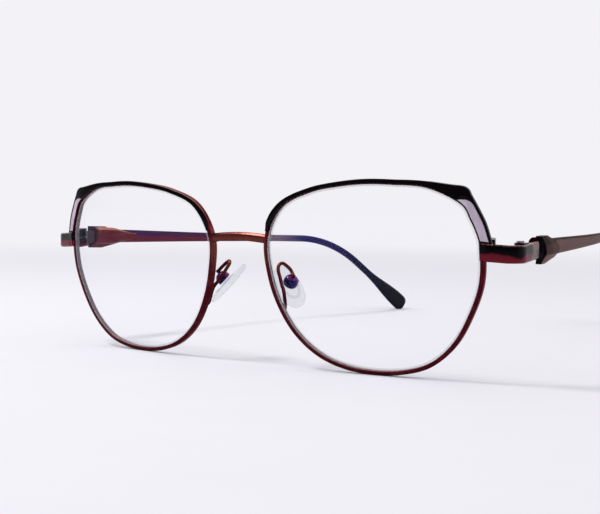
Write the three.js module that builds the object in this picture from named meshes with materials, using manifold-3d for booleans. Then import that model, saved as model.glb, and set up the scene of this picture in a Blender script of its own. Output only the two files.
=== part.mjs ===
// Metal eyeglass frame with an enamelled cat-eye brow, adjustable nose pads and sprung temple hinges.
// Units are millimetres. X runs across the face, Y runs back along the temples and Z is up.
// Everything is built for the +X side, the wearer's left, and mirrored for the other side.
import * as THREE from 'three';
import { mergeVertices } from 'three/addons/utils/BufferGeometryUtils.js';
import Module from 'manifold-3d';

const wasm = await Module();
wasm.setup();

// Lenses and rims
const apertureWidth = 50;
const apertureHeight = 41.2;
const lensSpacing = 67.1;
const baseRadius = 120;
const wrapAngle = 6.3;
const frontTilt = 7;
const rimFace = 0.95;
const rimDepth = 1.5;
const rimChamfer = 0.15;
const grooveDepth = 0.5;
const grooveOpening = 1.0;
const lensThickness = 1.1;
const lensBevel = 0.44;
const lensClearance = 0.12;
// Rings of the lens surface between its edge and its middle.
const lensRingShares = [0.25, 0.62];
const rimStations = 84;
const rimBesideSteps = 8;
// Corners of the lens outline, as shares of half the aperture's width and height.
const outlineShares = [
  [0.994, 0], [0.997, 0.391], [0.968, 0.515], [0.921, 0.641], [0.862, 0.772],
  [0.567, 0.955], [0.264, 0.993], [0, 1.001], [-0.26, 0.973], [-0.539, 0.908],
  [-0.839, 0.742], [-1, 0.393], [-0.976, -0.002], [-0.878, -0.348], [-0.722, -0.637],
  [-0.507, -0.847], [-0.257, -0.959], [0, -0.994], [0.261, -0.976], [0.527, -0.881],
  [0.745, -0.657], [0.893, -0.353],
];

// Brow trim: a stamped plate over the upper rim, with a wing at the outer corner
const trimThickness = 0.4;
const trimInset = 0.2;
const trimChamfer = 0.12;
const solderGap = 0.05;
const wingDepth = 0.55;
const wingBar = 0.52;
const recessLip = 0.42;
const recessDepth = 0.3;
const recessTop = 16.15;
const wingSteps = 22;
const browSteps = 34;
// Height at which the wing leaves the brow, as a share of the half aperture.
const wingTopShare = 0.955;
// Width of the plate at each polar angle of the rim.
const browWidthAngles = [54, 64, 90, 122, 140, 150, 160];
const browWidthShares = [1.54, 1.28, 1.25, 1.19, 1.23, 1.58, 1.58];
// Outer edge of the wing from its foot up to the corner, in shares of the half aperture.
const wingOutlineShares = [
  [1.106, 0.393], [1.054, 0.602], [0.985, 0.772], [0.934, 0.883],
  [0.911, 0.937], [0.874, 0.97], [0.768, 0.991],
];

// Bridge
const bridgeHeight = 2.0;
const bridgeDepth = 1.5;
const bridgeRise = 0.5;
const bridgeBow = 0.35;
const bridgeAbove = 8.6;
const bridgeSetback = 0.85;
const bridgeChamfer = 0.4;
const bridgeSteps = 10;

// End piece, which wraps from the rim to the hinge
const endAbove = 6.5;
const endHeight = 3.5;
const endDip = 0.35;
const endProud = 0.9;
const endReach = 8.05;
const legBehindHinge = 4.4;
const endBend = 3.0;
const endThickness = 1.85;
const legThickness = 1.0;
const legTipThickness = 0.5;
const endChamfer = 0.35;

// Rim lock: two halves and a screw that close the split rim
const slitWidth = 0.3;
const lockHeight = 4.7;
const lockLength = 3.1;
const lockOverhang = 2.6;
const lockCorner = 0.6;
const lockSlit = 0.2;
const lockBeside = 0.35;
const lockScrewRadius = 0.45;
const lockHeadRadius = 0.75;
const lockHeadHeight = 0.5;
const screwClearance = 0.08;
const slotWidth = 0.25;
// Depth of a screw's slot, as a share of its head's height.
const slotDepthShare = 0.5;
// Rim of a screw's head: its bevelled face in shares of the head's radius and height.
const screwFaceShare = 0.8;
const screwBevelShare = 0.4;

// Temple hinge
const hingeInset = 2.4;
const hingeBehindCorner = 5.3;
const hingeAbove = 7.2;
const hingeHeight = 3.0;
const knuckleHeight = 0.8;
const knuckleRadius = 1.25;
const eyeRadius = 0.9;
const hingeScrewRadius = 0.45;
const hingeHeadRadius = 0.85;
const hingeHeadHeight = 0.35;
const leafThickness = 0.35;
const hingeGap = 0.1;

// Sprung tongue
const tongueThickness = 0.9;
const tongueShoulder = 1.5;
const tongueInsert = 1.6;
const rodRadius = 0.3;
const rodLength = 5.6;
const collarRadius = 0.52;
const collarLength = 0.8;
const lipGap = 1.0;
const lipThickness = 0.7;
const springWall = 0.14;
const slideTravel = 1.2;

// Temple: head, arm and acetate tip
const headInset = 1.1;
const headBehindHinge = 6.5;
const headAbove = 7.35;
const templeHeading = 3.5;
const tipHeading = 21.0;
// The left temple stands a little higher than the right one, so the frame rests on both rims and one tip.
const templeRiseLeft = 1.3;
const templeRiseRight = -1.3;
const headingStart = 15;
const headingEase = 115;
const straightLength = 89;
const earBendRadius = 45;
const earBendAngle = 36.5;
const armThickness = 1.1;
const armInset = 0.1;
const armHeadHeight = 3.95;
const armMidHeight = 2.85;
const armEndHeight = 2.1;
const armTaper = 40;
const coreShare = 0.55;
const tipStart = 75;
const tipWall = 0.55;
const tipNeckHeight = 2.4;
const tipPaddleHeight = 5.6;
const tipPaddleLength = 26;
const tipEndSetback = 7;
// Height of the paddle's lowest corner below its middle, as a share of its half height.
const tipGroundShare = 0.55;
// Least height and thickness of the tip's rounded end, and the places of its last rings.
const tipEndHeightShare = 0.25;
const tipEndThicknessShare = 0.6;
const tipEndShares = [0.66, 0.33, 0.1];
const tipClearance = 0.1;
const templeStep = 4;

// Spring housing on the inside of the temple
const housingFace = 2.0;
const housingHeight = 4.75;
const housingLength = 16.5;
const housingTailHeight = 2.7;
const housingTailThickness = 0.25;
// Where the housing starts to narrow, how high its tail ends and how wide its edges are cut.
const housingTailShare = 0.35;
const housingEndShare = 0.6;
const housingChamferShare = 0.3;
const housingRingShares = [0.2, 0.5, 0.65, 0.8, 0.9];
const pocketOffset = 1.1;
const pocketWidth = 1.15;
const pocketHeight = 3.25;
const boreRadius = 0.62;

// Faceted sleeve on the outside of the temple
const sleeveHeight = 6.0;
const sleeveLength = 12.6;
const sleeveOut = 2.0;
const sleeveBevel = 0.45;
const sleeveScoop = 1.1;
// Side view of the sleeve from its lower front corner round its rear point, in shares of length and half height.
const sleeveOutlineShares = [
  [0, -1], [0.3, -0.92], [0.64, -0.62], [1, 0], [0.54, 0.68], [0.2, 0.93], [0, 1],
];
// The hollow of its front edge from above down, in shares of the scoop and the half height.
const sleeveScoopShares = [[0.3, 0.6], [1, -0.1], [0.4, -0.6]];

// Nose pads
const padLength = 12.4;
const padWidth = 6.7;
const padThickness = 2.0;
const padBackShare = 0.35;
// Rings of the pad from its back to its crown, in shares of its size and half thickness.
const padRingShares = [[0.86, -0.7], [1, -0.25], [0.97, 0.25], [0.75, 0.75], [0.4, 0.97]];
// How much narrower the pad is at its top.
const padNarrowShare = 0.14;
const padSpread = 8.8;
const padBehindLens = 7.6;
const padBelowCentre = 2.85;
const padBoxRadius = 1.6;
const padBoxHeight = 2.0;
const padBoxSlot = 1.1;
const padDomeShare = 1.1;
// Profile of the box from its mouth to its dome, in shares of its radius and height.
const padBoxShares = [[0.94, 0], [1, 0.25], [0.92, 0.65], [0.6, 0.95]];
const padStemLength = 1.0;
const padStemWidth = 2.2;
const padStemRadius = 0.6;
const padScrewRadius = 0.3;
const padHeadRadius = 0.55;
const padArmRadius = 0.42;
const padArmSides = 7;
const padArmSteps = 22;
// Height of the pad arm's foot above the lens centre.
const padArmFoot = -7.8;
// Route of the pad arm in shares of the pad's half width, half length and thickness.
const padArmShares = [
  [0.88, -0.42, -1.02], [0.84, -0.15, -1.1], [0.78, 0.12, -1.2], [0.72, 0.48, -1.38],
  [0.55, 0.68, -1.55], [0.32, 0.7, -1.75], [0.12, 0.52, -1.88], [-0.02, 0.28, -1.93],
];
// Directions of the pad: towards the nose, and from its bottom to its top.
const padFacingShares = [-0.62, 0.41, -0.665];
const padUpShares = [-0.59, 0.25, 0.77];

const round = 16;
const overrun = 0.5;

const degrees = THREE.MathUtils.degToRad;
const halfWidth = apertureWidth / 2;
const halfHeight = apertureHeight / 2;

function point(x, y, z) {
  return new THREE.Vector3(x, y, z);
}

// Closed body from points and triangles, turned so that its faces point out.
function body(points, faces) {
  let volume = 0;
  const cross = point(0, 0, 0);
  for (const [a, b, c] of faces) {
    volume += points[a].dot(cross.crossVectors(points[b], points[c]));
  }
  const index = faces.flatMap(([a, b, c]) => (volume < 0 ? [a, c, b] : [a, b, c]));
  const geometry = new THREE.BufferGeometry();
  geometry.setAttribute('position', new THREE.Float32BufferAttribute(points.flatMap((p) => p.toArray()), 3));
  geometry.setIndex(index);
  return geometry;
}

// Triangles of a flat end with the same winding as its outline.
function endFaces(outline) {
  const turn = Math.sign(THREE.ShapeUtils.area(outline));
  return THREE.ShapeUtils.triangulateShape(outline, []).map(([a, b, c]) => {
    const same = Math.sign(THREE.ShapeUtils.area([outline[a], outline[b], outline[c]])) === turn;
    return same ? [a, b, c] : [a, c, b];
  });
}

// Skin over a row of rings. A closed row joins its last ring to its first, an outline closes both ends
// with flat faces, and poles close them with one point each.
function loft(rings, { closed = false, outline = null, poles = null }) {
  const count = rings[0].length;
  const points = rings.flat();
  const faces = [];
  const spans = closed ? rings.length : rings.length - 1;
  for (let i = 0; i < spans; i += 1) {
    const a = i * count;
    const b = ((i + 1) % rings.length) * count;
    for (let j = 0; j < count; j += 1) {
      const k = (j + 1) % count;
      faces.push([a + j, b + j, b + k], [a + j, b + k, a + k]);
    }
  }
  const last = (rings.length - 1) * count;
  if (outline) {
    for (const [a, b, c] of endFaces(outline)) {
      faces.push([a, b, c], [last + a, last + c, last + b]);
    }
  }
  if (poles) {
    points.push(...poles);
    for (let j = 0; j < count; j += 1) {
      const k = (j + 1) % count;
      faces.push([j, k, points.length - 2], [last + k, last + j, points.length - 1]);
    }
  }
  return body(points, faces);
}

function toManifold(geometry) {
  const plain = geometry.clone();
  plain.deleteAttribute('normal');
  plain.deleteAttribute('uv');
  const merged = mergeVertices(plain, 1e-4);
  const mesh = new wasm.Mesh({
    numProp: 3,
    vertProperties: new Float32Array(merged.attributes.position.array),
    triVerts: new Uint32Array(merged.index.array),
  });
  return new wasm.Manifold(mesh);
}

function toGeometry(manifold) {
  const mesh = manifold.getMesh();
  const geometry = new THREE.BufferGeometry();
  geometry.setAttribute('position', new THREE.BufferAttribute(Float32Array.from(mesh.vertProperties), 3));
  geometry.setIndex(Array.from(mesh.triVerts));
  return geometry;
}

function join(...geometries) {
  return toGeometry(geometries.map(toManifold).reduce((sum, next) => sum.add(next)));
}

function cut(geometry, ...tools) {
  return toGeometry(tools.map(toManifold).reduce((rest, tool) => rest.subtract(tool), toManifold(geometry)));
}

// Flat outline of a section, for closing a loft's ends.
function flatten(section) {
  return section.map(([x, y]) => new THREE.Vector2(x, y));
}

// Block between two corners.
function block(x0, x1, y0, y1, z0, z1) {
  const box = new THREE.BoxGeometry(x1 - x0, y1 - y0, z1 - z0);
  return box.translate((x0 + x1) / 2, (y0 + y1) / 2, (z0 + z1) / 2);
}

// Round bar along Z from one height to another.
function bar(radius, z0, z1) {
  const cylinder = new THREE.CylinderGeometry(radius, radius, z1 - z0, round);
  return cylinder.rotateX(Math.PI / 2).translate(0, 0, (z0 + z1) / 2);
}

// Plate with a plan outline, standing between two heights.
function plate(outline, z0, z1) {
  const shape = new THREE.Shape(outline.map(([x, y]) => new THREE.Vector2(x, y)));
  const geometry = new THREE.ExtrudeGeometry(shape, { depth: z1 - z0, bevelEnabled: false });
  return geometry.translate(0, 0, z0);
}

// Straight blend between values that stand at rising places.
function blend(places, values, at) {
  let k = 0;
  while (k < places.length - 2 && at > places[k + 1]) {
    k += 1;
  }
  const share = THREE.MathUtils.clamp((at - places[k]) / (places[k + 1] - places[k]), 0, 1);
  return THREE.MathUtils.lerp(values[k], values[k + 1], share);
}

// Slotted machine screw along Z: head below, shank above.
function screw(shankRadius, headRadius, headHeight, length) {
  const profile = [
    [0, 0], [headRadius * screwFaceShare, 0], [headRadius, headHeight * screwBevelShare],
    [headRadius, headHeight], [shankRadius, headHeight], [shankRadius, length + headHeight], [0, length + headHeight],
  ];
  const turned = new THREE.LatheGeometry(profile.map(([x, y]) => new THREE.Vector2(x, y)), round);
  turned.rotateX(Math.PI / 2);
  const slotDepth = headHeight * slotDepthShare;
  const slot = block(-headRadius * 2, headRadius * 2, -slotWidth / 2, slotWidth / 2, -overrun, slotDepth);
  return cut(turned, slot);
}

// Lens frame: x outward, y up and z forward from the middle of the aperture.
// The spherical sheet that the rims and lenses follow, n millimetres in front of it.
function onSheet(u, v, n) {
  const radius = baseRadius + n;
  return point(u, v, Math.sqrt(radius * radius - u * u - v * v) - baseRadius);
}

const outline = new THREE.CatmullRomCurve3(
  outlineShares.map(([x, y]) => point(x * halfWidth, y * halfHeight, 0)), true, 'centripetal');

// Place on the aperture's edge with its outward direction.
function edgeAt(share) {
  const t = share - Math.floor(share);
  const place = outline.getPointAt(t);
  const tangent = outline.getTangentAt(t);
  return { u: place.x, v: place.y, outU: tangent.y, outV: -tangent.x };
}

// Share of the outline's length, between a lower and a higher place, at which it passes a height.
function shareAtHeight(v, lowShare, highShare) {
  let low = lowShare;
  let high = highShare;
  for (let i = 0; i < 40; i += 1) {
    const middle = (low + high) / 2;
    if (edgeAt(middle).v < v) {
      low = middle;
    } else {
      high = middle;
    }
  }
  return low;
}

const outlineLength = outline.getLength();
const tiltCos = Math.cos(degrees(frontTilt));
const tiltSin = Math.sin(degrees(frontTilt));
const wrapCos = Math.cos(degrees(wrapAngle));
const wrapSin = Math.sin(degrees(wrapAngle));
const lockV = endAbove / tiltCos;
const lockShare = shareAtHeight(lockV, 0, 0.2);
const slitShare = slitWidth / outlineLength;

// Stations round the rim from just above the slit to just below it.
const stations = Array.from({ length: rimStations }, (_, i) => {
  const share = lockShare + slitShare / 2 + (i / (rimStations - 1)) * (1 - slitShare);
  return edgeAt(share);
});

function offsetPoint(station, offset, n) {
  return onSheet(station.u + station.outU * offset, station.v + station.outV * offset, n);
}

// Rotation and place of the lens frame on the wearer's left.
const outAxis = point(wrapCos, wrapSin, 0);
const levelNormal = point(wrapSin, -wrapCos, 0);
const upAxis = point(0, 0, tiltCos).addScaledVector(levelNormal, tiltSin);
const frontAxis = levelNormal.clone().multiplyScalar(tiltCos).add(point(0, 0, -tiltSin));

function lensMatrix(height) {
  const matrix = new THREE.Matrix4().makeBasis(outAxis, upAxis, frontAxis);
  return matrix.setPosition(lensSpacing / 2, 0, height);
}

// The rims stand on the ground, so the lens centre is as high as the rim reaches below it.
function lowestOfRim() {
  const matrix = lensMatrix(0);
  let lowest = 0;
  for (const station of stations) {
    for (const n of [-rimChamfer, rimChamfer - rimDepth]) {
      lowest = Math.min(lowest, offsetPoint(station, rimFace, n).applyMatrix4(matrix).z);
    }
  }
  return lowest;
}

const lensHeight = -lowestOfRim();
const lensPlace = lensMatrix(lensHeight);

function inWorld(p) {
  return p.clone().applyMatrix4(lensPlace);
}

// Piece of the rim beside the lock, widened by a gap, that is taken out of what stands against it.
function rimBesideLock() {
  const gap = solderGap;
  const reach = lockHeight / outlineLength;
  const section = [
    [-gap, gap], [rimFace + gap, gap], [rimFace + gap, -rimDepth - gap], [-gap, -rimDepth - gap],
  ];
  const rings = edgePlaces(lockShare - reach, lockShare + reach, rimBesideSteps).map((place) => (
    section.map(([o, n]) => offsetPoint(place, o, n))));
  return loft(rings, { outline: flatten(section) }).applyMatrix4(lensPlace);
}

function inLock(geometry) {
  return geometry.applyMatrix4(lockPlace.clone().invert());
}

// Eyewire: an open ring with a groove for the lens, split where the rim lock closes it.
function eyewire() {
  const middle = -rimDepth / 2;
  const section = [
    [rimChamfer, 0], [rimFace - rimChamfer, 0], [rimFace, -rimChamfer],
    [rimFace, rimChamfer - rimDepth], [rimFace - rimChamfer, -rimDepth],
    [rimChamfer, -rimDepth], [0, rimChamfer - rimDepth],
    [0, middle - grooveOpening / 2], [grooveDepth, middle], [0, middle + grooveOpening / 2],
    [0, -rimChamfer],
  ];
  const rings = stations.map((station) => section.map(([o, n]) => offsetPoint(station, o, n)));
  return loft(rings, { outline: section.map(([x, y]) => new THREE.Vector2(x, y)) });
}

// Lens: a curved shell of even thickness whose bevelled edge sits in the groove.
function lens() {
  const middle = -rimDepth / 2;
  const front = middle + lensThickness / 2;
  const back = middle - lensThickness / 2;
  const edges = [
    [-lensClearance, front], [lensBevel - lensClearance, middle], [-lensClearance, back],
  ];
  const rings = edges.map(([o, n]) => stations.map((station) => offsetPoint(station, o, n)));
  const inner = (share, n) => stations.map((s) => onSheet(s.u * share, s.v * share, n));
  rings.unshift(...lensRingShares.map((share) => inner(share, front)));
  rings.push(...lensRingShares.map((share) => inner(share, back)).reverse());
  return loft(rings, { poles: [onSheet(0, 0, front), onSheet(0, 0, back)] });
}

// Polar angle of a station in degrees.
function angleOf(station) {
  return THREE.MathUtils.radToDeg(Math.atan2(station.v, station.u));
}

// Places along the aperture's edge that the trim follows, first up the wing and then over the brow.
const footShare = shareAtHeight((endAbove + endHeight / 2 + solderGap) / tiltCos, 0, 0.2);
const wingShare = shareAtHeight(wingTopShare * halfHeight, 0, 0.2);
const bridgeShare = shareAtHeight((bridgeAbove + bridgeHeight / 2) / tiltCos, 0.5, 0.35);

function edgePlaces(from, to, steps) {
  return Array.from({ length: steps + 1 }, (_, i) => edgeAt(THREE.MathUtils.lerp(from, to, i / steps)));
}

const wingPlaces = edgePlaces(footShare, wingShare, wingSteps);
const browPlaces = edgePlaces(wingShare, bridgeShare, browSteps);

// Outer edge of the wing at each of its places, and of the brow beyond it.
function trimOuterEdge() {
  const brow = browPlaces.map((s) => {
    const width = rimFace * blend(browWidthAngles, browWidthShares, angleOf(s));
    return point(s.u + s.outU * width, s.v + s.outV * width, 0);
  });
  const corners = wingOutlineShares.map(([x, y]) => point(x * halfWidth, y * halfHeight, 0));
  const curve = new THREE.CatmullRomCurve3([...corners, brow[0]], false, 'centripetal');
  return [...curve.getSpacedPoints(wingSteps), ...brow.slice(1)];
}

const trimStations = [...wingPlaces, ...browPlaces.slice(1)];
const trimEdge = trimOuterEdge();

// Point across the trim: out from the aperture's edge, or back from the trim's own outer edge.
function acrossTrimAt(i, distance, n, fromOuter) {
  const station = trimStations[i];
  if (!fromOuter) {
    return offsetPoint(station, distance, n);
  }
  const outer = trimEdge[i];
  const inward = point(station.u, station.v, 0).sub(outer).normalize();
  return onSheet(outer.x + inward.x * distance, outer.y + inward.y * distance, n);
}

// The same between two places, for a row with a fraction.
function acrossTrim(row, distance, n, fromOuter) {
  const low = Math.floor(row);
  const high = Math.min(low + 1, trimStations.length - 1);
  const from = acrossTrimAt(low, distance, n, fromOuter);
  return from.lerp(acrossTrimAt(high, distance, n, fromOuter), row - low);
}

function trimWidth(row) {
  const i = Math.floor(row);
  return Math.hypot(trimEdge[i].x - trimStations[i].u, trimEdge[i].y - trimStations[i].v);
}

const trimFront = solderGap + trimThickness;
const indices = trimStations.map((_, i) => i);
const wingStep = (wingShare - footShare) * outlineLength / wingSteps;

// Rows of the wing's recess, whose ends stand in from its own by a distance.
function recessRows(inset) {
  const foot = (wingBar / 2 + inset) / wingStep;
  const top = indices.filter((i) => i < wingSteps && trimStations[i].v < recessTop).length - inset / wingStep;
  return [foot, ...indices.filter((i) => i > foot && i < top), top];
}

// Skin over sections of the trim, each a list of [distance, n, from the outer edge].
function trimRibbon(rows, section) {
  const rings = rows.map((i) => section.map(([d, n, outer]) => acrossTrim(i, d, n, outer)));
  const flat = section.map(([d, n, outer]) => new THREE.Vector2(outer ? trimWidth(rows[0]) - d : d, n));
  return loft(rings, { outline: flat });
}

function browTrim() {
  const band = trimRibbon(indices, [
    [trimInset, solderGap, false], [trimInset, trimFront - trimChamfer, false],
    [trimInset + trimChamfer, trimFront, false], [trimChamfer, trimFront, true],
    [0, trimFront - trimChamfer, true], [0, solderGap, true],
  ]);
  const wingRows = indices.slice(0, wingSteps);
  const back = trimRibbon(wingRows, [
    [rimFace + solderGap, -wingDepth, false], [rimFace + solderGap, solderGap * 2, false],
    [solderGap, solderGap * 2, true], [solderGap, -wingDepth, true],
  ]);
  const recess = trimRibbon(recessRows(0), [
    [recessLip, trimFront - recessDepth, false], [recessLip, trimFront + overrun, false],
    [wingBar, trimFront + overrun, true], [wingBar, trimFront - recessDepth, true],
  ]);
  return cut(join(band, back), recess);
}

// Enamel panel that fills the recess of the wing.
function browInlay() {
  return trimRibbon(recessRows(solderGap), [
    [recessLip + solderGap, trimFront - recessDepth + solderGap, false],
    [recessLip + solderGap, trimFront - solderGap, false],
    [wingBar + solderGap, trimFront - solderGap, true],
    [wingBar + solderGap, trimFront - recessDepth + solderGap, true],
  ]);
}

// Outer wall of the nasal rim at a height above the ground.
function nasalWall(z) {
  const wall = stations.filter((s) => s.u < 0).map((s) => ({
    front: inWorld(offsetPoint(s, rimFace, 0)),
    back: inWorld(offsetPoint(s, rimFace, -rimDepth)),
  }));
  const nearest = (side) => {
    const rows = wall.map((w) => w[side]).sort((a, b) => a.z - b.z);
    return blend(rows.map((p) => p.z), rows.map((p) => p.x), z);
  };
  const front = nearest('front');
  const back = nearest('back');
  return Math.min(front, back);
}

const bridgeZ = lensHeight + bridgeAbove;

// Bridge: a slim arched bar whose ends follow the walls of both rims.
function bridge() {
  const h = bridgeHeight / 2;
  const d = bridgeDepth / 2;
  const c = bridgeChamfer;
  const section = [
    [-d, -h + c], [-d, h - c], [-d + c, h], [d - c / 2, h], [d, h - c / 2],
    [d, -h + c / 2], [d - c / 2, -h], [-d + c / 2, -h],
  ];
  const rimY = inWorld(onSheet(-halfWidth - rimFace, bridgeAbove, 0)).y;
  const rings = [];
  for (let i = -bridgeSteps; i <= bridgeSteps; i += 1) {
    const share = i / bridgeSteps;
    const arch = 1 - share * share;
    const middleY = rimY + bridgeSetback - bridgeBow * arch;
    const middleZ = bridgeZ + bridgeRise * (arch - 0.5);
    rings.push(section.map(([y, z]) => {
      const reach = nasalWall(bridgeZ + z) - solderGap * 2;
      return point(share * reach, middleY + y, middleZ + z);
    }));
  }
  return loft(rings, { outline: section.map(([x, y]) => new THREE.Vector2(x, y)) });
}

// Local frame at the rim lock: out along the sheet, back behind it and up along the front's tilt.
const lockEdge = edgeAt(lockShare);
const lockOrigin = inWorld(onSheet(lockEdge.u, lockEdge.v, 0));
const lockUp = upAxis.clone();
const lockOut = inWorld(onSheet(lockEdge.u + rimFace, lockEdge.v, 0)).sub(lockOrigin).normalize();
const lockBack = point(0, 0, 0).crossVectors(lockUp, lockOut).normalize();
const lockAcross = point(0, 0, 0).crossVectors(lockBack, lockUp).normalize();
const lockPlace = new THREE.Matrix4().makeBasis(lockAcross, lockBack, lockUp).setPosition(lockOrigin);
const lockScrewX = rimFace + lockBeside + lockCorner;
const lockScrewY = rimDepth + lockOverhang / 2;

// Plan of the rim lock: behind the rim, then forward beside it to meet the end piece.
function lockPlan() {
  const back = rimDepth + lockOverhang;
  const behind = rimDepth + solderGap;
  const beside = rimFace + lockBeside;
  const reach = endThickness - endProud + lockSlit;
  return [
    [0, behind], [beside, behind], [beside, reach], [lockLength, reach],
    [lockLength, back - lockCorner], [lockLength - lockCorner, back], [lockCorner, back], [0, back - lockCorner],
  ];
}

function lockUpper() {
  const half = plate(lockPlan(), lockSlit / 2, lockHeight / 2);
  const bore = bar(lockScrewRadius + screwClearance, lockSlit / 2 - overrun, lockHeight / 2 + overrun);
  return cut(half, inLock(rimBesideLock()), bore.translate(lockScrewX, lockScrewY, 0));
}

function lockLower() {
  const half = plate(lockPlan(), -lockHeight / 2, -lockSlit / 2);
  const bore = bar(lockScrewRadius + screwClearance, -lockHeight / 2 - overrun, overrun);
  const sinkDepth = lockHeadHeight / 2 + solderGap;
  const sink = bar(lockHeadRadius + screwClearance, -lockHeight / 2 - overrun, -lockHeight / 2 + sinkDepth);
  for (const hole of [bore, sink]) {
    hole.translate(lockScrewX, lockScrewY, 0);
  }
  return cut(half, inLock(rimBesideLock()), bore, sink);
}

function lockScrew() {
  const whole = screw(lockScrewRadius, lockHeadRadius, lockHeadHeight, lockHeight - lockHeadHeight);
  return whole.translate(lockScrewX, lockScrewY, -lockHeight / 2 - lockHeadHeight / 2);
}

// Course of the end piece's outer face: level along the rim's edge to a corner, then straight back.
const endLegX = lensSpacing / 2 + halfWidth + endReach;
const endStart = lockOrigin.clone().addScaledVector(lockBack, -endProud);
const endAlong = point(lockAcross.x, lockAcross.y, 0).normalize();
const endCorner = endStart.clone().addScaledVector(endAlong, (endLegX - endStart.x) / endAlong.x);
const hingeX = endLegX - hingeInset;
const hingeY = endCorner.y + hingeBehindCorner;

// End piece: a flat bar from the front of the rim round the bend to the hinge.
function endPiece() {
  const before = endCorner.clone().addScaledVector(endAlong, -endBend);
  const after = point(endLegX, endCorner.y + endBend, endCorner.z);
  const bend = new THREE.QuadraticBezierCurve3(before, endCorner, after);
  const inward = point(-endAlong.y, endAlong.x, 0);
  const tabThickness = endProud - solderGap;
  const rows = [];
  const tab = (distance, thickness) => rows.push({
    outer: endStart.clone().addScaledVector(endAlong, distance), inward, thickness, dip: 0,
  });
  tab(solderGap, tabThickness);
  tab(rimFace + lockBeside / 2, tabThickness);
  tab(rimFace + lockBeside, endThickness);
  for (const share of [0, 0.25, 0.5, 0.75, 1]) {
    const turn = inward.clone().lerp(point(-1, 0, 0), share).normalize();
    const thickness = THREE.MathUtils.lerp(endThickness, legThickness, share);
    rows.push({ outer: bend.getPoint(share), inward: turn, thickness, dip: endDip });
  }
  const leg = (y, thickness, dip) => rows.push({
    outer: point(endLegX, y, endCorner.z), inward: point(-1, 0, 0), thickness, dip,
  });
  leg(hingeY + knuckleRadius, legThickness, 0);
  leg(hingeY + legBehindHinge, legTipThickness, -endDip);
  const h = endHeight / 2;
  const c = endChamfer;
  const rings = rows.map(({ outer, inward: into, thickness, dip }, i) => {
    const lean = i < 3 ? tiltSin / tiltCos : 0;
    const section = [
      [0, -h + c], [0, h - c], [Math.min(c, thickness / 2), h], [thickness, h],
      [thickness, -h], [Math.min(c, thickness / 2), -h],
    ];
    return section.map(([d, z]) => outer.clone().addScaledVector(into, d).add(point(0, -lean * z, z - dip)));
  });
  const flat = [[0, -h + c], [0, h - c], [c, h], [tabThickness, h], [tabThickness, -h], [c, -h]];
  const whole = loft(rings, { outline: flatten(flat) });
  return cut(whole, rimBesideLock());
}

const hingeZ = lensHeight + hingeAbove;
const legInner = endLegX - legThickness - solderGap;

// Plan of one knuckle of the fork: a round end joined to the leg of the end piece.
function knucklePlan() {
  const plan = [[legInner, hingeY - knuckleRadius]];
  const steps = round / 2;
  for (let i = 0; i <= steps; i += 1) {
    const angle = -Math.PI / 2 - (i / steps) * Math.PI;
    plan.push([hingeX + knuckleRadius * Math.cos(angle), hingeY + knuckleRadius * Math.sin(angle)]);
  }
  plan.push([legInner, hingeY + knuckleRadius]);
  return plan;
}

// Front leaf of the hinge: two knuckles on a plate that is soldered inside the end piece.
function hingeFork() {
  const low = hingeZ - hingeHeight / 2;
  const high = hingeZ + hingeHeight / 2;
  const plan = knucklePlan();
  const leaf = block(legInner - leafThickness, legInner, hingeY - knuckleRadius, hingeY + knuckleRadius, low, high);
  const fork = join(plate(plan, low, low + knuckleHeight), plate(plan, high - knuckleHeight, high), leaf);
  const bore = bar(hingeScrewRadius + screwClearance, low - overrun, high + overrun);
  return cut(fork, bore.translate(hingeX, hingeY, 0));
}

function hingeScrew() {
  const length = hingeHeight + hingeGap;
  const whole = screw(hingeScrewRadius, hingeHeadRadius, hingeHeadHeight, length);
  whole.rotateX(Math.PI);
  return whole.translate(hingeX, hingeY, hingeZ + hingeHeight / 2 + hingeHeadHeight + solderGap);
}

// Temple frame: x outward, y back along the temple and z up, from the middle of the head's front face.
const headX = endLegX - headInset;
const headY = hingeY + headBehindHinge;
const headZ = lensHeight + headAbove;
const heading = degrees(templeHeading);
const templePlace = new THREE.Matrix4().makeRotationZ(heading).setPosition(headX, headY, headZ);
const axisInTemple = point(hingeX, hingeY, headZ).applyMatrix4(templePlace.clone().invert());

// Arm offsets and heights along the temple.
function armInner(s) {
  return blend([0, housingLength], [armInset, -armThickness / 2], s);
}

function armOuter(s) {
  return armInner(s) + armThickness;
}

function armHeight(s) {
  return blend([0, armTaper, tipStart], [armHeadHeight, armMidHeight, armEndHeight], s);
}

// Centre line of the temple with its heading and fall at each step, for its own rise.
function templePath(rise) {
  const fall = degrees(earBendAngle) + rise;
  const bendLength = earBendRadius * fall;
  const steps = Math.ceil((straightLength + bendLength) / templeStep) + 1;
  const turn = degrees(tipHeading - templeHeading);
  const at = (s) => {
    const ease = THREE.MathUtils.smoothstep(s, headingStart, headingStart + headingEase) * turn;
    const drop = rise - THREE.MathUtils.clamp((s - straightLength) / earBendRadius, 0, fall);
    return { side: ease, drop };
  };
  const rows = [];
  const place = point(0, 0, 0);
  const step = (straightLength + bendLength) / steps;
  for (let i = 0; i <= steps; i += 1) {
    const s = i * step;
    rows.push({ s, place: place.clone(), ...at(s) });
    const middle = at(s + step / 2);
    place.add(point(
      -Math.sin(middle.side) * Math.cos(middle.drop) * step,
      Math.cos(middle.side) * Math.cos(middle.drop) * step,
      Math.sin(middle.drop) * step));
  }
  return rows;
}

// Length of the last straight, which runs down until the paddle's lowest corner stands on the ground.
function straightToGround(rise) {
  const end = templePath(rise).pop();
  const half = tipPaddleHeight / 2;
  const down = headZ + end.place.z - half * Math.cos(end.drop) * tipGroundShare;
  return down / Math.sin(-end.drop);
}

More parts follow.
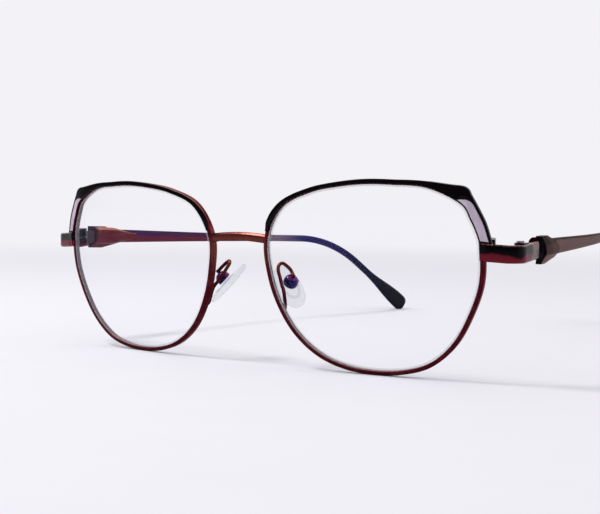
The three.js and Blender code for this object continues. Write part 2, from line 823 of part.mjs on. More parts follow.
// Whole centre line: the path and a last straight of a given length.
function templeCourse(rise, straight) {
  const rows = templePath(rise);
  const end = rows[rows.length - 1];
  const steps = Math.max(2, Math.ceil(straight / templeStep));
  const ahead = point(
    -Math.sin(end.side) * Math.cos(end.drop), Math.cos(end.side) * Math.cos(end.drop), Math.sin(end.drop));
  for (let i = 1; i <= steps; i += 1) {
    const run = straight * i / steps;
    rows.push({ ...end, s: end.s + run, place: end.place.clone().addScaledVector(ahead, run) });
  }
  return rows;
}

const rightCourse = templeCourse(degrees(templeRiseRight), straightToGround(degrees(templeRiseRight)));
const leftCourse = templeCourse(degrees(templeRiseLeft), straightToGround(degrees(templeRiseRight)));
const templeLength = rightCourse[rightCourse.length - 1].s;

// Rings of a section along the temple. The section gives points [x, z] at each distance.
function templeRings(rows, section) {
  return rows.map((row) => {
    const sideways = point(Math.cos(row.side), Math.sin(row.side), 0);
    const upwards = point(
      Math.sin(row.side) * Math.sin(row.drop), -Math.cos(row.side) * Math.sin(row.drop), Math.cos(row.drop));
    return section(row.s).map(([x, z]) => (
      row.place.clone().addScaledVector(sideways, x).addScaledVector(upwards, z)));
  });
}

function rowAt(course, s) {
  const k = Math.max(0, course.findIndex((row) => row.s >= s) - 1);
  const a = course[k];
  const b = course[k + 1];
  const share = (s - a.s) / (b.s - a.s);
  return {
    s, place: a.place.clone().lerp(b.place, share),
    side: THREE.MathUtils.lerp(a.side, b.side, share), drop: THREE.MathUtils.lerp(a.drop, b.drop, share),
  };
}

function rowsBetween(course, from, to) {
  const between = course.filter((row) => row.s > from + overrun && row.s < to - overrun);
  return [rowAt(course, from), ...between, rowAt(course, to)];
}

// Arm section: a flat bar with chamfered edges on its outer face.
function armSection(s, extra = 0, share = 1) {
  const h = armHeight(s) * share / 2 + extra;
  const middle = (armInner(s) + armOuter(s)) / 2;
  const t = armThickness * share / 2 + extra;
  const c = armThickness * share / 3;
  return [
    [middle - t, -h], [middle - t, h], [middle + t - c, h], [middle + t, h - c],
    [middle + t, c - h], [middle + t - c, -h],
  ];
}

function coreSection(s, extra) {
  return armSection(Math.min(s, tipStart), extra, coreShare);
}

// Temple arm: the metal bar and the thinner core that runs on inside the acetate tip.
function templeArm(course) {
  const shoulder = tipStart - solderGap;
  const rings = templeRings(rowsBetween(course, 0, shoulder), (s) => armSection(s));
  const coreRows = rowsBetween(course, shoulder, templeLength - tipEndSetback);
  const core = templeRings(coreRows, (s) => coreSection(s, 0));
  return loft([...rings, ...core], { outline: flatten(armSection(0)) });
}

// Acetate tip: an oval sleeve over the core that flattens into a paddle behind the ear.
function tipSection(s) {
  const grow = THREE.MathUtils.smoothstep(s, templeLength - tipPaddleLength, templeLength - tipEndSetback / 2);
  const closing = THREE.MathUtils.clamp((templeLength - s) / (tipPaddleHeight / 2), 0, 1);
  const rounding = THREE.MathUtils.lerp(tipEndHeightShare, 1, Math.sqrt(1 - (1 - closing) * (1 - closing)));
  const h = THREE.MathUtils.lerp(tipNeckHeight / 2, tipPaddleHeight / 2, grow) * rounding;
  const t = (armThickness / 2 + tipWall) * THREE.MathUtils.lerp(tipEndThicknessShare, 1, rounding);
  const middle = (armInner(tipStart) + armOuter(tipStart)) / 2;
  return Array.from({ length: 12 }, (_, i) => {
    const angle = (i / 12) * Math.PI * 2 + Math.PI / 12;
    const squash = (value) => Math.sign(value) * Math.abs(value) ** 0.75;
    return [middle + t * squash(Math.cos(angle)), h * squash(Math.sin(angle))];
  });
}

function templeTip(course) {
  const rows = rowsBetween(course, tipStart, templeLength);
  const last = rows.pop();
  const endRows = tipEndShares.map((share) => rowAt(course, templeLength - share * tipPaddleHeight / 2));
  const all = [...rows.filter((row) => row.s < endRows[0].s - overrun), ...endRows, last];
  const skin = loft(templeRings(all, tipSection), { outline: flatten(tipSection(tipStart)) });
  const boreRows = rowsBetween(course, tipStart, templeLength - tipEndSetback + solderGap);
  boreRows[0] = { ...boreRows[0], place: boreRows[0].place.clone().add(point(0, -overrun, 0)) };
  const bore = loft(templeRings(boreRows, (s) => coreSection(s, tipClearance)), {
    outline: flatten(coreSection(tipStart, tipClearance)),
  });
  return cut(skin, bore);
}

// Spring housing: a leaf-shaped boss inside the head, bored for the tongue, rod and spring.
function hingeHousing(course) {
  const tail = (s) => THREE.MathUtils.smoothstep(s, housingLength * housingTailShare, housingLength);
  const section = (s) => {
    const h = THREE.MathUtils.lerp(housingHeight, housingTailHeight * housingEndShare, tail(s)) / 2;
    const outer = armInner(s) - solderGap;
    const thin = outer - housingTailThickness;
    const inner = Math.min(THREE.MathUtils.lerp(-housingFace, thin, tail(s)), thin);
    const c = (outer - inner) * housingChamferShare;
    return [
      [inner, c - h], [inner, h - c], [inner + c, h], [outer, h], [outer, -h], [inner + c, -h],
    ];
  };
  const rows = rowsBetween(course, 0, housingLength);
  const extra = housingRingShares.map((share) => rowAt(course, share * housingLength));
  const all = [rows[0], ...extra, rows[rows.length - 1]];
  const boss = loft(templeRings(all, section), { outline: flatten(section(0)) });
  const lipStart = tongueInsert + lipGap;
  const pocket = block(
    -pocketOffset - pocketWidth / 2, -pocketOffset + pocketWidth / 2, -overrun, lipStart,
    hingeZ - headZ - pocketHeight / 2, hingeZ - headZ + pocketHeight / 2);
  const rodBore = bar(rodRadius + screwClearance, lipStart - overrun, lipStart + lipThickness + overrun);
  const springEnd = tongueInsert + rodLength + collarLength + slideTravel / 4;
  const springBore = bar(boreRadius, lipStart + lipThickness, springEnd);
  for (const bore of [rodBore, springBore]) {
    bore.rotateX(-Math.PI / 2).translate(-pocketOffset, 0, hingeZ - headZ);
  }
  return cut(boss, pocket, rodBore, springBore);
}

// Tongue: an eye on the hinge screw, a flat shank into the head, and a rod with a collar for the spring.
function hingeTongue() {
  const low = hingeZ - headZ - hingeHeight / 2;
  const high = hingeZ - headZ + hingeHeight / 2;
  const middle = hingeZ - headZ;
  const start = new THREE.Vector2(axisInTemple.x, axisInTemple.y);
  const end = new THREE.Vector2(-pocketOffset, hingeGap);
  const direction = end.clone().sub(start).normalize();
  const side = new THREE.Vector2(-direction.y, direction.x);
  const half = tongueThickness / 2;
  const strip = (from, to) => [
    [from.x + side.x * half, from.y + side.y * half], [from.x - side.x * half, from.y - side.y * half],
    [to.x + half, to.y], [to.x - half, to.y],
  ];
  const eyeHalf = hingeHeight / 2 - knuckleHeight - hingeGap;
  const eye = bar(eyeRadius, middle - eyeHalf, middle + eyeHalf).translate(start.x, start.y, 0);
  const neck = plate(strip(start, end), middle - eyeHalf, middle + eyeHalf);
  const shoulder = start.clone().addScaledVector(direction, tongueShoulder);
  const shank = plate(strip(shoulder, end), low, high);
  const insert = block(end.x - half, end.x + half, end.y - hingeGap, tongueInsert, low, high);
  const rod = bar(rodRadius, tongueInsert - hingeGap, tongueInsert + rodLength + collarLength / 2);
  const collar = bar(collarRadius, tongueInsert + rodLength, tongueInsert + rodLength + collarLength);
  for (const part of [rod, collar]) {
    part.rotateX(-Math.PI / 2).translate(-pocketOffset, 0, middle);
  }
  const whole = join(eye, neck, shank, insert, rod, collar);
  const bore = bar(hingeScrewRadius + screwClearance, low, high).translate(start.x, start.y, 0);
  return cut(whole, bore);
}

// Compression spring round the rod, between the housing's lip and the rod's collar.
function hingeSpring() {
  const from = tongueInsert + lipGap + lipThickness + solderGap;
  const to = tongueInsert + rodLength - solderGap;
  const inner = rodRadius + screwClearance;
  const outer = inner + springWall;
  const profile = [[inner, from], [outer, from], [outer, to], [inner, to], [inner, from]];
  const tube = new THREE.LatheGeometry(profile.map(([x, y]) => new THREE.Vector2(x, y)), round);
  return tube.translate(-pocketOffset, 0, hingeZ - headZ);
}

// Faceted sleeve over the outside of the head, with a hollowed front edge and a pointed rear edge.
function templeSleeve(course) {
  const h = sleeveHeight / 2;
  const side = [
    ...sleeveOutlineShares.map(([y, z]) => [y * sleeveLength, z * h]),
    ...sleeveScoopShares.map(([y, z]) => [y * sleeveScoop, z * h]),
  ];
  const shape = new THREE.Shape(side.map(([y, z]) => new THREE.Vector2(y, z)));
  const depth = sleeveOut - armInset - sleeveBevel;
  const solid = new THREE.ExtrudeGeometry(shape, {
    depth, bevelEnabled: true, bevelThickness: sleeveBevel, bevelSize: sleeveBevel / 2,
    bevelOffset: -sleeveBevel / 2, bevelSegments: 1,
  });
  const turn = new THREE.Matrix4().makeBasis(point(0, 1, 0), point(0, 0, 1), point(1, 0, 0));
  solid.applyMatrix4(turn).translate(armInset, 0, 0);
  const keep = block(armInset + solderGap, sleeveOut + overrun, -overrun * 2, sleeveLength + overrun, -h * 2, h * 2);
  const rows = rowsBetween(course, 0, sleeveLength + templeStep);
  rows[0] = { ...rows[0], place: point(0, -overrun * 2, 0) };
  const channel = loft(templeRings(rows, (s) => armSection(s, solderGap)), { outline: flatten(armSection(0)) });
  const trimmed = toManifold(solid).intersect(toManifold(keep)).subtract(toManifold(channel));
  return toGeometry(trimmed);
}

// Nose pad frame: x across the pad, y along it upwards and z towards the nose.
const padFacing = point(...padFacingShares).normalize();
const padUp = point(...padUpShares);
padUp.addScaledVector(padFacing, -padUp.dot(padFacing)).normalize();
const padAcross = point(0, 0, 0).crossVectors(padUp, padFacing);
const padPlace = new THREE.Matrix4().makeBasis(padAcross, padUp, padFacing);
padPlace.setPosition(padSpread, padBehindLens, lensHeight - padBelowCentre);
const padBack = -padThickness * padBackShare;
const boxFront = padBack - padStemLength / 2;
const pivotZ = boxFront - padStemRadius - screwClearance;

// Pad: a rounded cushion of clear plastic with a bored stem on its back.
function nosePad() {
  const count = 24;
  const rings = padRingShares.map(([size, level]) => Array.from({ length: count }, (_, i) => {
    const angle = (i / count) * Math.PI * 2;
    const y = Math.sin(angle);
    const narrow = 1 - padNarrowShare * y;
    return point(
      Math.cos(angle) * narrow * size * padWidth / 2, y * size * padLength / 2, level * padThickness / 2);
  }));
  const cushion = loft(rings, { poles: [point(0, 0, padBack), point(0, 0, padThickness / 2)] });
  const width = padBoxSlot / 2 - screwClearance;
  const stem = block(
    -width, width, -padStemWidth / 2, padStemWidth / 2, pivotZ, padBack + overrun / 2);
  const eye = bar(padStemRadius, -width, width).rotateY(Math.PI / 2).translate(0, 0, pivotZ);
  const bore = bar(padScrewRadius + screwClearance, -padWidth, padWidth).rotateY(Math.PI / 2);
  return cut(join(cushion, stem, eye), bore.translate(0, 0, pivotZ));
}

// Pad box: a domed metal cup, slotted for the pad's stem.
function padBox() {
  const r = padBoxRadius;
  const deep = padBoxHeight;
  const profile = [[0, 0], ...padBoxShares.map(([x, y]) => [x * r, y * deep]), [0, deep * padDomeShare]];
  const cup = new THREE.LatheGeometry(profile.map(([x, y]) => new THREE.Vector2(x, y)), round);
  cup.rotateX(-Math.PI / 2).translate(0, 0, boxFront);
  const bottom = pivotZ - padStemRadius - hingeGap * 2;
  const slot = block(-padBoxSlot / 2, padBoxSlot / 2, -r * 2, r * 2, bottom, boxFront + overrun);
  const across = bar(padScrewRadius + screwClearance, -r * 2, r * 2).rotateY(Math.PI / 2).translate(0, 0, pivotZ);
  return cut(cup, slot, across);
}

function padScrew() {
  const length = padBoxRadius * 2;
  const whole = screw(padScrewRadius, padHeadRadius, padHeadRadius / 2, length);
  whole.translate(0, 0, -length / 2 - padHeadRadius / 2 - solderGap);
  return whole.rotateY(Math.PI / 2).translate(0, 0, pivotZ);
}

// Pad arm: a wire from the back of the nasal rim, up round a loop and down onto the pad box.
function padArm() {
  const base = edgeAt(shareAtHeight(padArmFoot, 0.7, 0.5));
  const sheetBack = point(-base.u, -base.v, -baseRadius).normalize().transformDirection(lensPlace);
  const foot = inWorld(offsetPoint(base, rimFace / 2, -rimDepth)).addScaledVector(sheetBack, solderGap);
  const route = [foot, foot.clone().addScaledVector(sheetBack, padArmRadius)];
  for (const [across, up, facing] of padArmShares) {
    const place = point(across * padWidth / 2, up * padLength / 2, facing * padThickness);
    route.push(place.applyMatrix4(padPlace));
  }
  const domeTop = boxFront - padBoxHeight * padDomeShare;
  route.push(point(0, 0, domeTop - padArmRadius - hingeGap).applyMatrix4(padPlace));
  const curve = new THREE.CatmullRomCurve3(route, false, 'centripetal');
  const circle = Array.from({ length: padArmSides }, (_, i) => {
    const angle = (i / padArmSides) * Math.PI * 2;
    return [padArmRadius * Math.cos(angle), padArmRadius * Math.sin(angle)];
  });
  return new THREE.ExtrudeGeometry(new THREE.Shape(flatten(circle)), { steps: padArmSteps, extrudePath: curve });
}

// Materials
function metal(color, roughness) {
  return new THREE.MeshStandardMaterial({ color, roughness, metalness: 1 });
}

function lacquer(color, roughness) {
  return new THREE.MeshStandardMaterial({ color, roughness, metalness: 0.2 });
}

const burgundy = () => metal('#6b1f2a', 0.25);
const blackLacquer = () => lacquer('#0b0a0c', 0.15);
const lilacEnamel = () => lacquer('#c3afc4', 0.35);
const gunmetal = () => metal('#7c7470', 0.35);
const purpleChrome = () => metal('#4a2a6a', 0.12);
const steel = () => metal('#b9b5b0', 0.3);
const acetate = () => lacquer('#14123a', 0.2);
const clear = () => new THREE.MeshStandardMaterial({
  color: '#eef0f2', roughness: 0.05, metalness: 0, transparent: true, opacity: 0.25,
});

function part(name, geometry, material, matrix = null) {
  const mesh = new THREE.Mesh(geometry, material);
  mesh.name = name;
  if (matrix) {
    mesh.applyMatrix4(matrix);
  }
  return mesh;
}

// One side of the frame.
function side(suffix, course) {
  const group = new THREE.Group();
  const name = (word) => `${word}_${suffix}`;
  group.add(
    part(name('eyewire'), eyewire(), burgundy(), lensPlace),
    part(name('lens'), lens(), clear(), lensPlace),
    part(name('brow_trim'), browTrim(), blackLacquer(), lensPlace),
    part(name('brow_inlay'), browInlay(), lilacEnamel(), lensPlace),
    part(name('end_piece'), endPiece(), burgundy()),
    part(name('rim_lock_upper'), lockUpper(), burgundy(), lockPlace),
    part(name('rim_lock_lower'), lockLower(), burgundy(), lockPlace),
    part(name('rim_lock_screw'), lockScrew(), steel(), lockPlace),
    part(name('pad_arm'), padArm(), burgundy()),
    part(name('pad_box'), padBox(), purpleChrome(), padPlace),
    part(name('pad_screw'), padScrew(), steel(), padPlace),
    part(name('nose_pad'), nosePad(), clear(), padPlace),
    part(name('hinge_fork'), hingeFork(), burgundy()),
    part(name('hinge_screw'), hingeScrew(), steel()),
    part(name('hinge_tongue'), hingeTongue(), burgundy(), templePlace),
    part(name('hinge_spring'), hingeSpring(), steel(), templePlace),
    part(name('hinge_housing'), hingeHousing(course), burgundy(), templePlace),
    part(name('temple_arm'), templeArm(course), gunmetal(), templePlace),
    part(name('temple_sleeve'), templeSleeve(course), gunmetal(), templePlace),
    part(name('temple_tip'), templeTip(course), acetate(), templePlace),
  );
  return group;
}

const frame = new THREE.Group();
const leftSide = side('left', leftCourse);
const rightSide = side('right', rightCourse);
rightSide.scale.x = -1;
frame.add(part('bridge', bridge(), burgundy()), leftSide, rightSide);

// The origin is under the middle of the whole frame, on the surface that it stands on.
const bounds = new THREE.Box3().setFromObject(frame, true);
const middle = bounds.getCenter(point(0, 0, 0));
frame.position.set(-middle.x, -middle.y, -bounds.min.z);

export default frame;
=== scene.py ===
"""Finish of a metal eyeglass frame: cat-eye brow, slim rims, nose pads, spring hinges and plastic tips."""

import math

import bpy
import numpy as np
from bpy.props import FloatProperty, FloatVectorProperty, PointerProperty
from mathutils import Matrix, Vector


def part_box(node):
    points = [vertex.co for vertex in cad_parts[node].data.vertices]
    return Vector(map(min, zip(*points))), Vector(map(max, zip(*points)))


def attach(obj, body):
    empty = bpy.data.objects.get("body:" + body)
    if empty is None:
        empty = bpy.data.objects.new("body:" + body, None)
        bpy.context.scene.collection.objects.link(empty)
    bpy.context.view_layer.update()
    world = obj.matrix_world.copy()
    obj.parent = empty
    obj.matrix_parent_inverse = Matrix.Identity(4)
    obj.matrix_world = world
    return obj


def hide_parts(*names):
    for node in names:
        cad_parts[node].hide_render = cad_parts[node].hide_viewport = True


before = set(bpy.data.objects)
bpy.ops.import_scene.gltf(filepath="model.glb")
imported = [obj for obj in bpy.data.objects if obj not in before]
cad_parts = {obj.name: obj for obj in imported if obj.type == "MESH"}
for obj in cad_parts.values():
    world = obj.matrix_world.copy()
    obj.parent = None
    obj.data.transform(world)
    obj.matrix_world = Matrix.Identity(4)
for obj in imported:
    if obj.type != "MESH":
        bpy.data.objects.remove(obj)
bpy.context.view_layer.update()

bl_info = {
    "name": "Eyeglass frame",
    "version": (1, 0, 0),
    "blender": (4, 5, 0),
    "location": "3D View > Sidebar > Eyeglasses",
    "description": "Builds the finish of a metal eyeglass frame round its fixed model",
    "category": "Object",
}

MM = 0.001
SIDES = {"left": 1.0, "right": -1.0}
# Gap between pieces that are soldered together on the real frame.
GAP = 0.05 * MM
# Heights of the rim locks and of the bridge above the middle of the lenses.
LOCK_HEIGHT, BRIDGE_HEIGHT = 6.5 * MM, 8.6 * MM
# Reach of the end pieces beyond the lens openings.
END_REACH = 8.05 * MM
# Widths of the lip and the bar on the two sides of the wing's recess.
LIP, BAR = 0.42 * MM, 0.52 * MM
# Where the tips begin along the temples, and the length of the spring housings.
TIP_START, HOUSING_LENGTH = 75 * MM, 16.5 * MM
# Points round a lens, where its ground edge begins as a share of its radius, and its rows of faces there.
LENS_POINTS, LENS_EDGE, LENS_EDGE_ROWS = 260, 0.983, range(21, 27)
# Sections of the brow trim along its wing.
WING_ROWS = 150

# Corners of the lens outline, as shares of half the opening's width and height.
OUTLINE_SHARES = [
    (0.994, 0), (0.997, 0.391), (0.968, 0.515), (0.921, 0.641), (0.862, 0.772),
    (0.567, 0.955), (0.264, 0.993), (0, 1.001), (-0.26, 0.973), (-0.539, 0.908),
    (-0.839, 0.742), (-1, 0.393), (-0.976, -0.002), (-0.878, -0.348), (-0.722, -0.637),
    (-0.507, -0.847), (-0.257, -0.959), (0, -0.994), (0.261, -0.976), (0.527, -0.881),
    (0.745, -0.657), (0.893, -0.353),
]
# Outer edge of the wing from its foot up to the corner, in the same shares.
WING_SHARES = [
    (1.106, 0.393), (1.054, 0.602), (0.985, 0.772), (0.934, 0.883),
    (0.911, 0.937), (0.874, 0.97), (0.768, 0.991),
]


def length(name, millimetres, description):
    return FloatProperty(
        name=name, description=description, default=millimetres * MM, unit="LENGTH", precision=5)


def angle(name, degrees, description):
    return FloatProperty(
        name=name, description=description, default=math.radians(degrees), subtype="ANGLE")


def colour(name, description, red, green, blue):
    """A colour property given as it looks on a screen, from 0 to 255, and kept as linear light."""
    seen = np.array([red, green, blue]) / 255
    linear = np.where(seen <= 0.04045, seen / 12.92, ((seen + 0.055) / 1.055) ** 2.4)
    return FloatVectorProperty(
        name=name, description=description, default=tuple(float(v) for v in linear),
        subtype="COLOR", min=0, max=1)


class EyeglassSizes(bpy.types.PropertyGroup):
    """Main sizes of the frame."""

    lens_width: length("Lens width", 50, "Width of the opening in a rim")
    lens_height: length("Lens height", 41.2, "Height of the opening in a rim")
    lens_spacing: length("Lens spacing", 67.1, "Distance between the middles of the lenses")
    base_radius: length("Base radius", 120, "Radius of the sphere that the rims and lenses follow")
    wrap: angle("Wrap", 6.3, "Turn of each lens round the face")
    tilt: angle("Tilt", 7, "Lean of the lenses, top forward")
    rim_face: length("Rim face", 0.95, "Width of a rim seen from the front")
    rim_depth: length("Rim depth", 1.5, "Depth of a rim from front to back")
    trim_thickness: length("Trim thickness", 0.4, "Thickness of the brow plate")
    bridge_height: length("Bridge height", 2.0, "Height of the bridge bar")
    bridge_depth: length("Bridge depth", 1.5, "Depth of the bridge bar")
    end_height: length("End piece height", 3.75, "Height of the bars at the outer ends of the front")
    arm_thickness: length("Arm thickness", 1.1, "Thickness of the metal temple arms")
    tip_height: length("Tip height", 5.6, "Height of the temple tips' paddles")
    pad_length: length("Pad length", 12.4, "Length of a nose pad")
    pad_width: length("Pad width", 6.7, "Width of a nose pad")


class EyeglassColours(bpy.types.PropertyGroup):
    """Main colours of the frame and its studio."""

    burgundy: colour("Burgundy", "Colour of the rims, bridge and end pieces", 80, 16, 28)
    # Copper: colour of the painted highlights on upward faces.
    copper: colour("Copper", "Colour that the burgundy metal takes along its upper edges", 176, 112, 92)
    lacquer: colour("Brow lacquer", "Colour of the brow plate", 6, 4, 6)
    lilac: colour("Lilac enamel", "Colour of the panels in the brow's wings", 197, 182, 199)
    # Olive, taupe and mauve paint the temples' reflection by the way their faces point, and mauve also the
    # end piece's rear; a darker taupe also colours the grain.
    olive: colour("Upper temple", "Colour of the temples where they face up", 42, 43, 36)
    taupe: colour("Outer temple", "Colour of the temples where they face out", 122, 103, 101)
    mauve: colour("Lower temple", "Colour of the temples where they face down", 138, 112, 110)
    plum: colour("Inner temple", "Colour of the temples' inner sides", 98, 36, 54)
    navy: colour("Tip start", "Colour of the plastic tips where they begin to darken", 38, 34, 92)
    night: colour("Tip end", "Colour of the ends of the plastic tips", 10, 12, 22)
    floor: colour("Floor", "Colour of the floor and the background", 243, 242, 247)


def sizes():
    return bpy.context.scene.eyeglass_sizes


def colours():
    return bpy.context.scene.eyeglass_colours


# Curves and surfaces


def unit(vectors):
    """Vectors of length one; a zero vector stays zero."""
    size = np.linalg.norm(vectors, axis=-1, keepdims=True)
    return vectors / np.maximum(size, 1e-12)


def circle(count):
    """Angles evenly round a circle."""
    return np.linspace(0, 2 * np.pi, count, endpoint=False)


def smoothstep(value, low, high):
    """Eased step 3t^2 - 2t^3 from 0 at low to 1 at high."""
    t = np.clip((np.asarray(value, float) - low) / (high - low), 0, 1)
    return t * t * (3 - 2 * t)


def catmull(points, closed=False):
    """Fine points on the centripetal Catmull-Rom curve through the given ones.

    Each span is a cubic Hermite curve whose end slopes come from its four nearest points,
    with parameter steps equal to the square roots of their distances.
    """
    p = np.asarray(points, float)
    if closed:
        p = np.vstack([p[-1:], p, p[:2]])
    else:
        p = np.vstack([2 * p[:1] - p[1:2], p, 2 * p[-1:] - p[-2:-1]])
    p0, p1, p2, p3 = p[:-3], p[1:-2], p[2:-1], p[3:]
    spans = ((p0, p1), (p1, p2), (p2, p3))
    a, b, c = (np.sqrt(np.linalg.norm(y - x, axis=1))[:, None] for x, y in spans)
    slope1 = ((p1 - p0) / a - (p2 - p0) / (a + b) + (p2 - p1) / b) * b
    slope2 = ((p2 - p1) / b - (p3 - p1) / (b + c) + (p3 - p2) / c) * b
    t = np.linspace(0, 1, 64, endpoint=False)[None, :, None]
    curve = (
        p1[:, None] * (2 * t**3 - 3 * t**2 + 1) + slope1[:, None] * (t**3 - 2 * t**2 + t)
        + p2[:, None] * (3 * t**2 - 2 * t**3) + slope2[:, None] * (t**3 - t**2)
    ).reshape(-1, p.shape[1])
    return np.vstack([curve, p2[-1:]])


def along(curve, shares):
    """Points at the given shares of a curve's length."""
    steps = np.linalg.norm(np.diff(curve, axis=0), axis=1)
    run = np.concatenate([[0], np.cumsum(steps)]) / steps.sum()
    return np.stack([np.interp(shares, run, curve[:, k]) for k in range(curve.shape[1])], -1)


def rounded(corners, radii, steps=4):
    """Closed sections whose corners are rounded.

    A corner c with neighbours a and b becomes the quadratic curve from c + r(a - c) to c + r(b - c),
    bent at c, where r is at most just under half the way to each neighbour.
    """
    c = np.asarray(corners, float)
    back, on = np.roll(c, 1, axis=-2) - c, np.roll(c, -1, axis=-2) - c
    radii = np.broadcast_to(np.asarray(radii, float), c.shape[:-1])[..., None]
    first = c + unit(back) * np.minimum(radii, 0.48 * np.linalg.norm(back, axis=-1, keepdims=True))
    last = c + unit(on) * np.minimum(radii, 0.48 * np.linalg.norm(on, axis=-1, keepdims=True))
    t = np.linspace(0, 1, steps + 1)[:, None]
    first, bend, last = (ends[..., None, :] for ends in (first, c, last))
    arcs = first * (1 - t) ** 2 + 2 * bend * t * (1 - t) + last * t**2
    return arcs.reshape(*c.shape[:-2], -1, c.shape[-1])


def stacked(*corners):
    """Sections [x, z] from corners whose places are numbers or arrays along the course."""
    return np.stack([np.stack(np.broadcast_arrays(x, z), -1) for x, z in corners], 1)


def skin(grid):
    """Vertices and faces of a capped tube of sections; grid is sections by points by three."""
    rows, cols = grid.shape[:2]
    this = np.arange(rows - 1)[:, None] * cols
    j = np.arange(cols)
    side = (j + 1) % cols
    faces = np.stack([this + j, this + side, this + cols + side, this + cols + j], -1)
    first, last = list(range(cols)), [(rows - 1) * cols + k for k in range(cols)]
    return grid.reshape(-1, 3), [*faces.reshape(-1, 4).tolist(), first[::-1], last]


def volume(points, faces):
    """Signed volume: the sum over fans of each face of the triple product of its corners, over six."""
    fans = np.array([(f[0], f[k], f[k + 1]) for f in faces for k in range(1, len(f) - 1)])
    a, b, c = (points[fans[:, k]] for k in range(3))
    return np.einsum("ij,ij->i", a, np.cross(b, c)).sum() / 6


def piece(name, shells, material, body, node, slot, sharp=38):
    """One object from closed shells, each turned so that its faces point out, riding on a body."""
    points, faces, start = [], [], 0
    for shell_points, shell_faces in shells:
        if volume(shell_points, shell_faces) < 0:
            shell_faces = [face[::-1] for face in shell_faces]
        points.append(shell_points)
        faces.extend([[index + start for index in face] for face in shell_faces])
        start += len(shell_points)
    mesh = bpy.data.meshes.new(name)
    mesh.from_pydata(np.vstack(points).tolist(), [], faces)
    mesh.validate()
    mesh.shade_smooth()
    mesh.set_sharp_from_angle(angle=math.radians(sharp))
    mesh.materials.append(material)
    made = bpy.data.objects.new(name, mesh)
    bpy.context.scene.collection.objects.link(made)
    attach(made, body)
    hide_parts(node)
    return made


def flip(shell, sign):
    """A shell of the left side, or its mirror image for the right."""
    points, faces = shell
    return points * np.array([sign, 1.0, 1.0]), faces


# Layout of the frame, in metres, on the wearer's left


